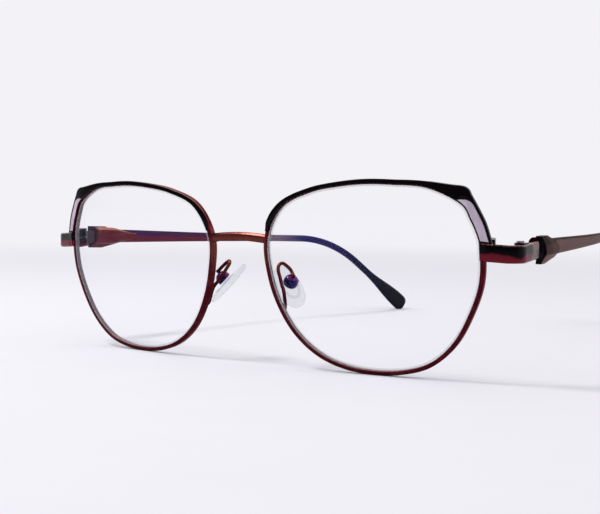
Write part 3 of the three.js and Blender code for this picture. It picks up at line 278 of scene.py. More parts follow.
class Layout:
    """Places shared by the pieces: the lens sheet, the end piece's course and the temple's course.

    All are on the left; the side only chooses the temple's rise, which differs between the two.
    """

    def __init__(self, side="left"):
        s = sizes()
        self.s = s
        self.half = np.array([s.lens_width / 2, s.lens_height / 2])
        self.edge = catmull(np.array(OUTLINE_SHARES) * self.half, closed=True)
        steps = np.linalg.norm(np.diff(self.edge, axis=0), axis=1)
        self.run = np.concatenate([[0], np.cumsum(steps)])
        self.edge_length = self.run[-1]
        wrap, tilt = s.wrap, s.tilt
        level = np.array([math.sin(wrap), -math.cos(wrap), 0])
        self.out = np.array([math.cos(wrap), math.sin(wrap), 0])
        self.up = math.cos(tilt) * np.array([0, 0, 1.0]) + math.sin(tilt) * level
        self.front = math.cos(tilt) * level - math.sin(tilt) * np.array([0, 0, 1.0])
        self.origin = np.array([s.lens_spacing / 2, 0, 0])
        low = np.array(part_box("eyewire_left")[0])
        ring = self.world(self.rim_corners(np.linspace(0, 1, 400))).reshape(-1, 3)
        self.origin[1:] = low[1:] - ring[:, 1:].min(axis=0)
        self.lock_share = self.share_at(LOCK_HEIGHT / math.cos(tilt), 0.0, 0.2)
        self.set_end()
        self.set_temple(side)

    def places(self, shares):
        """Points on the opening's edge and their outward directions, at shares of its length."""
        at = (np.asarray(shares, float) % 1) * self.edge_length
        point = lambda run: np.stack([np.interp(run, self.run, self.edge[:, k]) for k in (0, 1)], -1)
        step = 0.2 * MM
        tangent = unit(point((at + step) % self.edge_length) - point((at - step) % self.edge_length))
        return point(at), np.stack([tangent[..., 1], -tangent[..., 0]], -1)

    def share_at(self, height, low, high):
        """Share of the edge's length, between two places, at which it passes a height."""
        shares = np.linspace(low, high, 4000)
        place, _ = self.places(shares)
        return float(shares[np.abs(place[:, 1] - height).argmin()])

    def sheet(self, flat, n):
        """Points n in front of the lens sphere: z = sqrt((R + n)^2 - u^2 - v^2) - R."""
        radius = self.s.base_radius + n
        z = np.sqrt(radius**2 - (flat**2).sum(-1)) - self.s.base_radius
        return np.concatenate([flat, z[..., None]], -1)

    def world(self, points):
        """Points [outward, up, forward] of the lens's own frame, as places."""
        return points @ np.stack([self.out, self.up, self.front]) + self.origin

    def rim_corners(self, shares):
        """Corners of the rim's section at each share: a bar with a groove towards the lens."""
        s = self.s
        place, out = self.places(shares)
        middle, groove = -s.rim_depth / 2, 0.5 * MM
        section = np.array([
            (0, 0), (s.rim_face, 0), (s.rim_face, -s.rim_depth), (0, -s.rim_depth),
            (0, middle - groove), (groove, middle), (0, middle + groove)])
        flat = place[:, None] + out[:, None] * section[None, :, :1]
        return self.sheet(flat, section[:, 1][None, :].repeat(len(flat), 0))

    def set_end(self):
        """Course of the end piece's outer face, and the hinge's axis."""
        s = self.s
        place, _ = self.places([self.lock_share])
        start = self.world(self.sheet(place, np.zeros(1)))[0]
        reach = self.world(self.sheet(place + [s.rim_face, 0], np.zeros(1)))[0]
        across = unit((reach - start) * [1, 1, 0])
        back = np.array([-across[1], across[0], 0])
        ahead = 0.9 * MM
        self.end_x = s.lens_spacing / 2 + s.lens_width / 2 + END_REACH
        self.end_start = start - back * ahead
        self.end_across, self.end_back = across, back
        self.end_corner = self.end_start + across * (self.end_x - self.end_start[0]) / across[0]
        low, high = (np.array(corner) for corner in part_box("hinge_screw_left"))
        self.hinge = (low + high) / 2

    def course(self, s, rise):
        """Centre line of a temple that starts with its own rise.

        It turns inward as an eased step, and falls along an arc from the end of its straight run.
        """
        radius, straight, bend = 45 * MM, 89 * MM, math.radians(36.5)
        first, more, turn_start, turn_end = math.radians(3.5), math.radians(17.5), 15 * MM, 130 * MM
        inside, behind, above = 1.1 * MM, 6.5 * MM, 7.35 * MM
        turn = lambda at: first + smoothstep(at, turn_start, turn_end) * more
        fall = lambda at: rise - np.clip((at - straight) / radius, 0, bend + rise)
        step = s[1] - s[0]
        side, drop = turn(s + step / 2), fall(s + step / 2)
        level = np.cos(drop)
        move = np.stack([-np.sin(side) * level, np.cos(side) * level, np.sin(drop)], -1) * step
        head = np.array([self.end_x - inside, self.hinge[1] + behind, self.origin[2] + above])
        place = head + np.concatenate([np.zeros((1, 3)), np.cumsum(move, axis=0)])[:-1]
        return place, turn(s), fall(s)

    def set_temple(self, side):
        """Both temples are as long as the right one needs for its paddle to stand on the floor."""
        rise = math.radians(1.3)
        self.temple_s = np.arange(0, 160 * MM, 0.25 * MM)
        place, _, drop = self.course(self.temple_s, -rise)
        sole = place[:, 2] - 0.55 * self.s.tip_height / 2 * np.cos(drop)
        self.temple_length = float(self.temple_s[np.argmax(sole <= 0)])
        course = self.course(self.temple_s, rise * SIDES[side])
        self.temple_place, self.temple_side, self.temple_drop = course

    def temple(self, s, section):
        """Surface of sections [x, z] carried along the temple; x points out, z up, both square to it."""
        at = lambda values: np.interp(s, self.temple_s, values)
        place = np.stack([at(self.temple_place[:, k]) for k in range(3)], -1)
        side, drop = at(self.temple_side), at(self.temple_drop)
        sideways = np.stack([np.cos(side), np.sin(side), 0 * side], -1)
        upwards = np.stack([np.sin(side) * np.sin(drop), -np.cos(side) * np.sin(drop), np.cos(drop)], -1)
        out, up = section[..., :1], section[..., 1:]
        return place[:, None] + sideways[:, None] * out + upwards[:, None] * up


def arm_inner(s):
    """Place of the arm's inner side across the temple's course."""
    return np.interp(s, [0, HOUSING_LENGTH], [0.1 * MM, -sizes().arm_thickness / 2])


def arm_height(s):
    """Height of the arm along the temple."""
    return np.interp(s, [0, 40 * MM, TIP_START], [3.95 * MM, 2.85 * MM, 2.1 * MM])


# Shader expressions


class Field:
    """A shader value: sums, differences, products and powers of fields add their Math nodes."""

    def __init__(self, graph, socket):
        self.graph, self.socket = graph, socket

    def math(self, operation, *values):
        inputs = {str(k): value for k, value in enumerate(values)}
        return Field(self.graph, self.graph.node("ShaderNodeMath", {"operation": operation}, **inputs)[0])

    def __add__(self, other):
        return self.math("ADD", self, other)

    __radd__ = __add__

    def __sub__(self, other):
        return self.math("SUBTRACT", self, other)

    def __rsub__(self, other):
        return self.math("SUBTRACT", other, self)

    def __mul__(self, other):
        return self.math("MULTIPLY", self, other)

    __rmul__ = __mul__

    def __pow__(self, other):
        return self.math("POWER", self, other)

    def abs(self):
        return self.math("ABSOLUTE", self)

    def sign(self):
        return self.math("SIGN", self)

    def ramp(self, low, high):
        """Smooth step from 0 at low to 1 at high."""
        settings = {"interpolation_type": "SMOOTHSTEP", "clamp": True}
        return Field(self.graph, self.graph.node(
            "ShaderNodeMapRange", settings, Value=self, **{"From Min": low, "From Max": high})[0])


class Graph:
    """Shader nodes of a material or a world in the making."""

    def __init__(self, owner):
        owner.use_nodes = True
        self.tree = owner.node_tree
        self.tree.nodes.clear()

    def node(self, kind, settings=None, **inputs):
        """Adds a node and gives its outputs.

        Its settings are set first, then its sockets by name or number, as values, fields or links.
        """
        made = self.tree.nodes.new(kind)
        for key, value in (settings or {}).items():
            setattr(made, key, value)
        for key, value in inputs.items():
            socket = made.inputs[int(key) if key.isdigit() else key]
            value = value.socket if isinstance(value, Field) else value
            if isinstance(value, bpy.types.NodeSocket):
                self.tree.links.new(value, socket)
            else:
                socket.default_value = value
        return made.outputs

    def split(self, vector):
        """The three parts of a vector, as fields."""
        parts = self.node("ShaderNodeSeparateXYZ", Vector=vector)
        return [Field(self, parts[k]) for k in range(3)]

    def mix(self, factor, first, second):
        """Colour between two, by a field."""
        first, second = (
            end if isinstance(end, bpy.types.NodeSocket) else (*end, 1.0) for end in (first, second))
        settings = {"data_type": "RGBA", "clamp_factor": True}
        return self.node("ShaderNodeMix", settings, **{"0": factor, "6": first, "7": second})[2]

    def blend(self, factor, first, second):
        """Shader between two, by a field."""
        return self.node("ShaderNodeMixShader", **{"0": factor, "1": first, "2": second})[0]


class Finish(Graph):
    """A procedural material in the making, on Object coordinates."""

    def __init__(self, name):
        self.material = bpy.data.materials.new(name)
        super().__init__(self.material)
        coords = self.node("ShaderNodeTexCoord")
        self.place, self.normal = coords["Object"], coords["Normal"]

    def noise(self, scale, detail=4.0, roughness=0.5, stretch=(1, 1, 1)):
        moved = self.node("ShaderNodeMapping", Vector=self.place, Scale=stretch)[0]
        return Field(self, self.node(
            "ShaderNodeTexNoise", Vector=moved, Scale=scale, Detail=detail, Roughness=roughness)[0])

    def grazing(self):
        """Field from 0 where the surface faces the eye to 1 where it turns away."""
        return Field(self, self.node("ShaderNodeLayerWeight", Blend=0.5)["Facing"])

    def clear(self, *colour):
        return self.node("ShaderNodeBsdfTransparent", Color=(*colour, 1))[0]

    def solid(self, base, roughness, relief=None, depth=0.0, **others):
        """Shader of a base colour and a roughness, with a relief of some depth.

        The others go by short names, given in the table.
        """
        names = {
            "metallic": "Metallic", "alpha": "Alpha",
            "level": "Specular IOR Level", "tint": "Specular Tint"}
        inputs = {"Base Color": base, "Roughness": roughness}
        inputs.update({names[key]: value for key, value in others.items()})
        if relief is not None:
            inputs["Normal"] = self.node("ShaderNodeBump", Height=relief, Distance=depth, Strength=1.0)[0]
        return self.node("ShaderNodeBsdfPrincipled", **inputs)[0]

    def done(self, shader):
        self.node("ShaderNodeOutputMaterial", Surface=shader)
        return self.material


FINISHES = {}


def finish(name):
    """The named material, made once."""
    if name not in FINISHES:
        FINISHES[name] = MAKERS[name]()
    return FINISHES[name]


def scaled(value, factor):
    """A colour made darker or paler by one factor."""
    return tuple(min(1.0, channel * factor) for channel in value)


def burgundy_metal():
    """Translucent burgundy lacquer: darker on downward faces as painted shade, copper on upward faces as a
    painted highlight, fine orange peel.
    """
    f, c = Finish("burgundy_metal"), colours()
    facing = f.split(f.normal)[2]
    cloud = f.noise(420, 5, 0.6)
    # Downward faces darker, from deep burgundy below to full burgundy above: painted shade.
    deep = scaled(c.burgundy, 0.35)
    tone = f.mix(facing.ramp(-0.7, 0.5), deep, c.burgundy)
    tone = f.mix(cloud.ramp(0.35, 0.7) * 0.25, tone, scaled(c.burgundy, 1.4))
    central = f.split(f.place)[0].abs().ramp(8.5 * MM, 7 * MM)
    # Upward faces take the copper colour as a painted highlight; near the middle the bridge takes some
    # copper whichever way its faces point.
    upper = facing.ramp(0.4, 0.95) * (0.35 - central * 0.2) + central * 0.2 + (cloud - 0.5) * 0.25
    base = f.mix(upper, tone, c.copper)
    peel = f.noise(2600, 2, 0.5) * 0.6 + f.noise(9000, 2, 0.5) * 0.4
    return f.done(f.solid(
        base, 0.2 + cloud * 0.12, peel, 0.0025 * MM, metallic=0.9, level=0.3, tint=(0.7, 0.55, 0.55, 1)))


def brow_lacquer():
    """Deep black lacquer on the brow's front and temporal walls, and bare burgundy metal on the others, with
    copper on their upward faces as a painted highlight.
    """
    f, c = Finish("brow_lacquer"), colours()
    x = f.split(f.place)[0]
    across, rearward, facing = f.split(f.normal)
    painted = (rearward * -1).ramp(0.5, 0.72)
    temporal = (across * x.sign()).ramp(-0.1, 0.35)
    dust = f.noise(5200, 3, 0.7).ramp(0.66, 0.78)
    cloud = f.noise(420, 5, 0.6)
    black = f.mix(f.noise(300, 3), c.lacquer, scaled(c.lacquer, 2.0))
    black = f.mix(dust * 0.2, black, (0.1, 0.09, 0.1))
    # Copper on the bare walls' upward faces: painted highlight; upward temporal walls let some of it through
    # the black.
    glow = facing.ramp(0.3, 0.9) * 0.7 + (cloud - 0.5) * 0.4
    wall = f.mix(glow, scaled(c.burgundy, 0.8), c.copper)
    wall = f.mix(temporal * (1 - facing.ramp(0.75, 0.98) * 0.6), wall, scaled(c.lacquer, 1.5))
    return f.done(f.solid(
        f.mix(painted, wall, black), 0.22 - painted * 0.12 + dust * 0.15, f.noise(1400, 2, 0.4), 0.003 * MM,
        metallic=0.9 - painted * 0.9, level=0.06))


def lilac_enamel():
    """Pearl enamel: lilac with silky paler drifts along the wing and a fine flake."""
    f, c = Finish("lilac_enamel"), colours()
    drift = f.noise(260, 4, 0.6, stretch=(2.2, 1.0, 0.6))
    flake = f.noise(11000, 1, 0.5)
    base = f.mix(drift.ramp(0.3, 0.7), scaled(c.lilac, 0.84), scaled(c.lilac, 1.12))
    base = f.mix(flake.ramp(0.55, 0.8) * 0.25, base, (0.82, 0.76, 0.85))
    return f.done(f.solid(base, 0.34 + flake * 0.12, flake, 0.002 * MM, metallic=0.2, level=0.3))


def temple_metal():
    """Temple metal drawn lengthwise, plum inside with an indigo upper band.

    On the outside, olive grey above, taupe on its side and mauve below follow the way its faces point:
    painted reflection, darker over the sleeve. Its rearward faces are pale with a painted highlight, and its
    forward ones nearly black with painted shade.
    """
    f, c = Finish("temple_metal"), colours()
    x, y, z = f.split(f.place)
    across, rearward, facing = f.split(f.normal)
    outward = across * x.sign()
    low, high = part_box("hinge_screw_left")
    rise = 0.0227
    climb = (y - low[1]) * x.sign() * rise + (low[2] + high[2]) / 2
    grain = f.noise(900, 5, 0.65, stretch=(1.0, 0.05, 1.0))
    cloud = f.noise(160, 3, 0.5)
    top = facing + (cloud - 0.5) * 0.25
    sleeve_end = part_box("temple_sleeve_left")[1][1]
    # The outside's taupe side, olive upward faces and mauve downward faces are painted reflection; the taupe
    # is darker over the sleeve.
    middle = f.mix(y.ramp(sleeve_end - 3 * MM, sleeve_end), scaled(c.taupe, 0.4), c.taupe)
    outer = f.mix(top.ramp(0.05, 0.5), middle, c.olive)
    outer = f.mix(top.ramp(-0.1, -0.55), outer, c.mauve)
    # Pale rearward faces: painted highlight.
    outer = f.mix(rearward.ramp(0.35, 0.7) * 0.8, outer, scaled(c.mauve, 2.2))
    upper = (z - climb + (cloud - 0.5) * (1.2 * MM)).ramp(-0.1 * MM, 0.8 * MM)
    inner = f.mix(upper * 0.8, c.plum, (0.03, 0.012, 0.085))
    # Darker navy on the inner side's upward faces: painted reflection, as on the outside.
    inner = f.mix(facing.ramp(0.2, 0.75), inner, (0.014, 0.012, 0.045))
    base = f.mix(outward.ramp(-0.1, -0.45), outer, inner)
    # Nearly black on forward faces, such as the sleeve's hollow front: painted shade.
    base = f.mix((rearward * -1).ramp(0.45, 0.8), base, (0.012, 0.01, 0.014))
    base = f.mix(grain.ramp(0.35, 0.75) * 0.22, base, scaled(c.taupe, 0.45))
    return f.done(f.solid(
        base, 0.26 + grain * 0.16, grain, 0.004 * MM, metallic=0.85, level=0.15, tint=(0.4, 0.34, 0.33, 1)))


def housing_metal():
    """Burgundy housing inside the temple, dark at its front, with copper along its crown as a painted
    highlight on upward faces.
    """
    f, c = Finish("housing_metal"), colours()
    facing = f.split(f.normal)[2]
    start = f.split(f.place)[1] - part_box("hinge_housing_left")[0][1]
    cloud = f.noise(300, 4, 0.6)
    # Copper on upward faces along the crown: painted highlight.
    glow = facing.ramp(0.1, 0.5) * 0.9 + (cloud - 0.5) * 0.4
    base = f.mix(glow, scaled(c.burgundy, 1.25), scaled(c.copper, 1.15))
    base = f.mix(start.ramp(0.0, 1.5 * MM), scaled(c.burgundy, 0.5), base)
    fine = f.noise(4000, 2)
    return f.done(f.solid(base, 0.2 + cloud * 0.12, fine, 0.002 * MM, metallic=0.9, level=0.3))


def end_metal():
    """End piece: near black above, wine below, patches of copper on upward faces as a painted highlight, and
    towards the rear a pale mauve painted reflection with dark patches.
    """
    f, c = Finish("end_metal"), colours()
    _, y, z = f.split(f.place)
    facing = f.split(f.normal)[2]
    low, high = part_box("end_piece_left")
    cloud = f.noise(340, 5, 0.6)
    middle = (low[2] + high[2]) / 2
    dip = (y - low[1] - 3.5 * MM).abs().ramp(2.6 * MM, 0.0) * (0.9 * MM)
    height = z - middle + dip + (cloud - 0.5) * (0.9 * MM)
    # Towards the rear the bar turns pale mauve with dark patches: painted reflection.
    rear = (y - high[1] + 4.8 * MM + (cloud - 0.5) * (2 * MM)).ramp(0, 1.6 * MM)
    front = f.mix(height.ramp(-0.6 * MM, 0.0), scaled(c.burgundy, 1.6), scaled(c.lacquer, 1.6))
    back = f.mix(f.noise(420, 3).ramp(0.5, 0.58) * 0.9, scaled(c.mauve, 0.6), scaled(c.lacquer, 2.5))
    base = f.mix(rear, front, back)
    # Patches of copper on upward faces: painted highlight.
    patchy_highlight = f.noise(1300, 3, 0.6).ramp(0.42, 0.6)
    base = f.mix(facing.ramp(0.5, 0.9) * patchy_highlight * 0.9, base, c.copper)
    peel = f.noise(2600, 2)
    return f.done(f.solid(base, 0.17 + cloud * 0.12, peel, 0.0025 * MM, metallic=0.85, level=0.3))


def hinge_metal():
    """Dark blued metal of the hinge's fork and tongue, with a pale blue painted highlight on their upper
    faces, broken up by noise.
    """
    f = Finish("hinge_metal")
    facing = f.split(f.normal)[2]
    wear = f.noise(2200, 4, 0.7)
    # Pale blue on upward faces: painted highlight.
    painted_highlight = facing.ramp(0.3, 0.9) * wear.ramp(0.2, 0.6)
    base = f.mix(painted_highlight, (0.045, 0.018, 0.03), (0.5, 0.55, 0.68))
    return f.done(f.solid(base, 0.2 + wear * 0.18, wear, 0.003 * MM, metallic=0.9))


def screw_steel():
    """Turned steel with fine rings and a little tarnish."""
    f = Finish("screw_steel")
    tarnish = f.noise(1500, 4, 0.6)
    rings = f.noise(7000, 2, 0.5, stretch=(1, 1, 0.2))
    base = f.mix(tarnish.ramp(0.45, 0.75), (0.36, 0.3, 0.29), (0.16, 0.11, 0.11))
    return f.done(f.solid(base, 0.22 + tarnish * 0.2, rings, 0.002 * MM, metallic=1.0))


def violet_chrome():
    """Violet plating of the pad boxes: indigo, darker on downward faces as painted shade and turning magenta
    towards its upper side as a painted sheen.
    """
    f = Finish("violet_chrome")
    across, _, facing = f.split(f.normal)
    # Colour by the way faces point: painted shade below, painted sheen above.
    painted_sheen = facing * 0.6 + across * 0.3 + (f.noise(700, 2) - 0.5) * 0.4
    low = f.mix(painted_sheen.ramp(-0.7, 0.1), (0.004, 0.004, 0.03), (0.018, 0.008, 0.09))
    base = f.mix(painted_sheen.ramp(0.2, 0.8), low, (0.22, 0.03, 0.13))
    fine = f.noise(5000, 2)
    return f.done(f.solid(base, 0.1 + fine * 0.08, fine, 0.0015 * MM, metallic=0.9))


def tip_acetate():
    """Polished acetate that runs from greyed mauve through navy to near black, faintly marbled."""
    f, c = Finish("tip_acetate"), colours()
    y = f.split(f.place)[1]
    swirl = f.noise(120, 5, 0.6, stretch=(1.4, 0.35, 1.4))
    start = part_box("temple_tip_left")[0][1]
    run = y + (swirl - 0.5) * (8 * MM)
    base = f.mix(run.ramp(start + 1 * MM, start + 16 * MM), (0.16, 0.12, 0.17), c.navy)
    base = f.mix(run.ramp(start + 18 * MM, start + 52 * MM), base, c.night)
    base = f.mix(swirl.ramp(0.56, 0.74) * 0.25, base, (0.03, 0.03, 0.1))
    scuff = f.noise(3600, 4, 0.7)
    return f.done(f.solid(base, 0.2 + scuff * 0.14, scuff, 0.0015 * MM, level=0.06))


def lens_clear():
    """Clear coated lens: nearly all light passes, with a faint violet gloss at grazing angles."""
    f = Finish("lens_clear")
    smear = f.noise(90, 3, 0.5)
    gloss = f.node("ShaderNodeBsdfGlossy", Color=(0.7, 0.7, 0.98, 1), Roughness=0.02)[0]
    amount = f.grazing() ** 5 * 0.5 * (0.8 + smear * 0.4) + 0.005
    return f.done(f.blend(amount, f.clear(0.995, 0.995, 0.997), gloss))


def lens_edge():
    """Ground bevel round the lens, frosted and slightly grey."""
    f = Finish("lens_edge")
    grind = f.noise(5200, 4, 0.7)
    base = f.mix(grind, (0.5, 0.5, 0.54), (0.8, 0.8, 0.84))
    return f.done(f.solid(base, 0.35 + grind * 0.2, grind, 0.004 * MM, alpha=0.22 + grind * 0.12))


def pad_clear():
    """Clear soft plastic of the nose pads, slightly clouded, with a moulded skin."""
    f = Finish("pad_clear")
    cloud = f.noise(700, 4, 0.6)
    tint = f.mix(cloud, (0.55, 0.56, 0.58), (0.85, 0.86, 0.88))
    solid = f.solid(tint, 0.12, f.noise(1800, 3), 0.008 * MM)
    amount = f.grazing() ** 3 * 0.6 + 0.05 + cloud * 0.06
    return f.done(f.blend(amount, f.clear(0.95, 0.955, 0.965), solid))


def studio_floor():
    """Pale matt floor that fades into the background away from the frame and keeps its shadow."""
    f, c = Finish("studio_floor"), colours()
    x, y, _ = f.split(f.place)
    speck = f.noise(60, 3)
    base = f.mix(speck, scaled(c.floor, 0.93), scaled(c.floor, 0.95))
    backdrop = f.node("ShaderNodeEmission", Color=(*c.floor, 1), Strength=1.0)[0]
    away = (x * x + y * y) ** 0.5
    return f.done(f.blend(away.ramp(0.16, 0.9), f.solid(base, 0.8, level=0.1), backdrop))


MAKERS = {
    maker.__name__: maker
    for maker in (
        burgundy_metal, brow_lacquer, lilac_enamel, temple_metal, housing_metal, end_metal,
        hinge_metal, screw_steel, violet_chrome, tip_acetate, lens_clear, lens_edge, pad_clear,
        studio_floor)
}


def refinish(node, name):
    """Gives a node of the fixed model its detailed material."""
    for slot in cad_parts[node].material_slots:
        slot.material = finish(name)


# Surfaces of the pieces


def rim_surface(lay):
    """Rim: its section carried round the opening's edge, open by the slit at the lock."""
    slit = 0.3 * MM / lay.edge_length
    shares = lay.lock_share + slit / 2 + np.linspace(0, 1, 420) * (1 - slit)
    corners = lay.rim_corners(shares)
    radii = np.array([0.1, 0.24, 0.3, 0.14, 0.05, 0.1, 0.05]) * MM
    return skin(lay.world(rounded(corners, radii)))


def lens_surface(lay):
    """Lens: copies of the opening's edge on two spheres, joined by a bevel in the rim's groove."""
    place, out = lay.places(np.linspace(0, 1, LENS_POINTS, endpoint=False))
    middle, half = -lay.s.rim_depth / 2, 0.55 * MM
    inner = np.concatenate([np.linspace(0.02, 0.93, 20), [0.955, LENS_EDGE, 0.99, 1]])[:, None, None]
    edge = (place - out * 0.12 * MM)[None] * inner
    front, back = (lay.sheet(edge, np.full(1, n)) for n in (middle + half, middle - half))
    ridge = lay.sheet(place + out * 0.32 * MM, np.full(1, middle))[None]
    return skin(lay.world(np.concatenate([front, ridge, back[::-1]])))


def trim_rows(lay):
    """Places along the brow trim: the opening's edge, its outward directions and the trim's outer edge."""
    tilt = math.cos(lay.s.tilt)
    end_half, bridge_half = 1.75 * MM, 1.0 * MM
    foot = lay.share_at((LOCK_HEIGHT + end_half + GAP) / tilt, 0.0, 0.2)
    corner = lay.share_at(0.955 * lay.half[1], 0.0, 0.2)
    end = lay.share_at((BRIDGE_HEIGHT + bridge_half) / tilt, 0.5, 0.35)
    shares = np.concatenate([np.linspace(foot, corner, WING_ROWS), np.linspace(corner, end, 300)[1:]])
    place, out = lay.places(shares)
    polar = np.degrees(np.arctan2(place[:, 1], place[:, 0]))
    widths = lay.s.rim_face * np.interp(
        polar, [54, 64, 90, 122, 140, 150, 160], [1.54, 1.28, 1.25, 1.19, 1.23, 1.58, 1.58])
    outer = place + out * widths[:, None]
    brow = outer[WING_ROWS:]
    whole = catmull(np.vstack([np.array(WING_SHARES) * lay.half, brow[4:-8:22], brow[-1:]]))
    apart = np.linalg.norm(whole[:, None] - brow[None], axis=-1)
    outer[WING_ROWS:] = whole[apart.argmin(axis=0)]
    slim_rows = 16
    slim = smoothstep(np.arange(len(outer)), len(outer) - slim_rows, len(outer) - 1)[:, None]
    outer = outer * (1 - slim) + (place + out * lay.s.rim_face) * slim
    wing = whole[:apart[:, 0].argmin() + 1]
    outer[:WING_ROWS] = along(wing, np.linspace(0, 1, WING_ROWS + 1)[:-1])
    return place, out, outer


def recess(lay, rows):
    """Rows of the wing's recess, and its distance from the outer edge at each.

    The upper end is cut on a slant, so the recess narrows to its inner side over the last rows.
    """
    place, _, outer = rows
    top, slant_rows = 17.0 * MM, 26
    index = np.arange(len(place))
    sunk = (index >= 3) & (place[:, 1] < top) & (place[:, 0] > 0)
    share = smoothstep(index[sunk].max() - index, 0, slant_rows) ** 0.6
    width = np.linalg.norm(outer - place, axis=1)
    inset = BAR + (width - (LIP + BAR)) * (1 - share)
    return sunk, np.minimum(inset, width - 0.5 * MM)[:, None]


def trim_across(lay, rows, distance, n, from_outer):
    """Points at a distance from the opening's edge, or back from the trim's outer edge."""
    place, out, outer = rows
    if from_outer:
        flat = outer + unit(place - outer) * distance
    else:
        flat = place + out * distance
    return lay.sheet(flat, np.broadcast_to(n, len(flat)))


def trim_surface(lay):
    """Brow trim: a plate with rounded edges, sunk between two lips where the panel lies."""
    rows = trim_rows(lay)
    back, front = GAP, GAP + lay.s.trim_thickness
    sunk, inset = recess(lay, rows)
    floor = np.where(sunk, front - 0.3 * MM, front - 0.002 * MM)
    width = np.linalg.norm(rows[2] - rows[0], axis=1)
    wing = (np.arange(len(width)) < WING_ROWS) & (width > lay.s.rim_face * 1.2)
    deep = np.where(wing, -0.55 * MM, back)
    shoulder = np.minimum(lay.s.rim_face + 0.06 * MM, width - 0.08 * MM)[:, None]
    at = lambda distance, n, from_outer=False: trim_across(lay, rows, distance, n, from_outer)
    inner = 0.2 * MM
    corners = np.stack([
        at(inner, back), at(inner, front), at(LIP, front), at(LIP, floor),
        at(inset, floor, True), at(inset, front, True), at(0.0, front, True), at(0.0, deep, True),
        at(shoulder, deep), at(shoulder, back)], axis=1)
    radii = np.array([0.02, 0.16, 0.04, 0.03, 0.03, 0.05, 0.22, 0.12, 0.04, 0.02]) * MM
    return skin(lay.world(rounded(corners, radii)))


def panel_surface(lay):
    """Enamel panel: a strip between the wing's lips, domed as 1 - (2t - 1)^4 across its width."""
    rows = trim_rows(lay)
    keep, inset = recess(lay, rows)
    place, out, outer = (values[keep] for values in rows)
    front, clear, dome = GAP + lay.s.trim_thickness, 0.02 * MM, 0.09 * MM
    inner = place + out * (LIP + clear)
    far = outer + unit(place - outer) * (inset[keep] + clear)
    t = np.linspace(0, 1, 13)
    flat = inner[:, None] * (1 - t)[None, :, None] + far[:, None] * t[None, :, None]
    top = front - 0.1 * MM + dome * (1 - (2 * t - 1) ** 4)
    upper = lay.sheet(flat, top[None, :].repeat(len(flat), 0))
    lower = lay.sheet(flat[:, [-1, 0]], np.full((len(flat), 2), front - 0.27 * MM))
    return skin(lay.world(np.concatenate([upper, lower], axis=1)))


def bridge_surface(lay):
    """Bridge: a bevelled bar whose middle rises and comes forward as 1 - x^2, ending on the rims' walls."""
    s = lay.s
    low, high = (np.array(corner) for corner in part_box("bridge"))
    t = np.linspace(-1, 1, 61)[:, None]
    h, d = s.bridge_height / 2, s.bridge_depth / 2
    rise, swell, overlap = 0.5 * MM, 0.35 * MM, 0.12 * MM
    section = np.array([
        (-d, -h + 0.35 * MM), (-d, h - 0.5 * MM), (-d + 0.45 * MM, h), (d - 0.15 * MM, h),
        (d, h - 0.15 * MM), (d, -h + 0.15 * MM), (d - 0.15 * MM, -h), (-d + 0.3 * MM, -h)])
    arch = 1 - t * t
    place, out = lay.places(np.linspace(0, 1, 1200))
    edge = place + out * s.rim_face
    level = lay.origin[2] + BRIDGE_HEIGHT
    reaches = []
    for n in (0.0, -s.rim_depth):
        wall = lay.world(lay.sheet(edge, np.full(len(edge), n)))[place[:, 0] < 0]
        wall = wall[wall[:, 2].argsort()]
        reaches.append(np.interp(level + section[:, 1], wall[:, 2], wall[:, 0]))
    reach = np.minimum(*reaches) + overlap
    y = (low[1] + high[1]) / 2 + swell * (0.5 - arch)
    z = level + rise * (arch - 0.5) + section[None, :, 1]
    grid = np.stack([t * reach[None], y + section[None, :, 0] + 0 * z, z], -1)
    return skin(rounded(grid, 0.09 * MM, 3))


def end_surface(lay):
    """End piece: a bevelled bar along a line, a quadratic bend and a line, tapering in thickness."""
    s = lay.s
    bevel, reach, behind, lowered = 0.35 * MM, 3.0 * MM, 4.4 * MM, 0.12 * MM
    inwards = np.array([-1.0, 0, 0])
    before = lay.end_corner - lay.end_across * reach
    after = np.array([lay.end_x, lay.end_corner[1] + reach, lay.end_corner[2]])
    rear = np.array([lay.end_x, lay.hinge[1] + behind, lay.end_corner[2]])
    t = np.linspace(0, 1, 40)[:, None]
    line = np.linspace(0, 1, 24)[:, None]
    tab = lay.end_start + (before - lay.end_start) * line[:-1]
    bend = before * (1 - t) ** 2 + 2 * lay.end_corner * t * (1 - t) + after * t**2
    leg = after + (rear - after) * line[1:]
    outer = np.vstack([tab, bend, leg])
    inward = unit(np.vstack([
        np.repeat(lay.end_back[None], len(tab), 0), lay.end_back * (1 - t) + inwards * t,
        np.repeat(inwards[None], len(leg), 0)]))
    run = np.concatenate([[0], np.cumsum(np.linalg.norm(np.diff(outer, axis=0), axis=1))])
    rim = s.rim_face + 0.2 * MM
    start, stop, last = run[len(tab)], run[len(tab) + len(t) - 1], run[-1] - reach
    thickness = np.interp(
        run, [0, rim, rim + 0.15 * MM, start, stop, last, run[-1]],
        np.array([0.85, 0.85, 1.85, 1.85, 1.0, 1.0, 0.5]) * MM)
    dip = np.interp(run, [0, start, stop, last, run[-1]], np.array([0, 0.35, 0.35, 0, -0.35]) * MM)
    lean = np.where(run < rim, math.tan(s.tilt), 0.0)
    h = s.end_height / 2
    corner = np.minimum(bevel, thickness / 2)
    zero = 0 * run
    depth = np.stack([zero, zero, corner, thickness, thickness, corner], 1)
    height = zero[:, None] + np.array([bevel - h, h - bevel, h, h, -h, -h])
    grid = outer[:, None] + inward[:, None] * depth[..., None]
    grid[..., 1] -= lean[:, None] * height
    grid[..., 2] += height - dip[:, None] - lowered
    return skin(rounded(grid, np.array([0.14, 0.14, 0.14, 0.1, 0.1, 0.14]) * MM, 3))


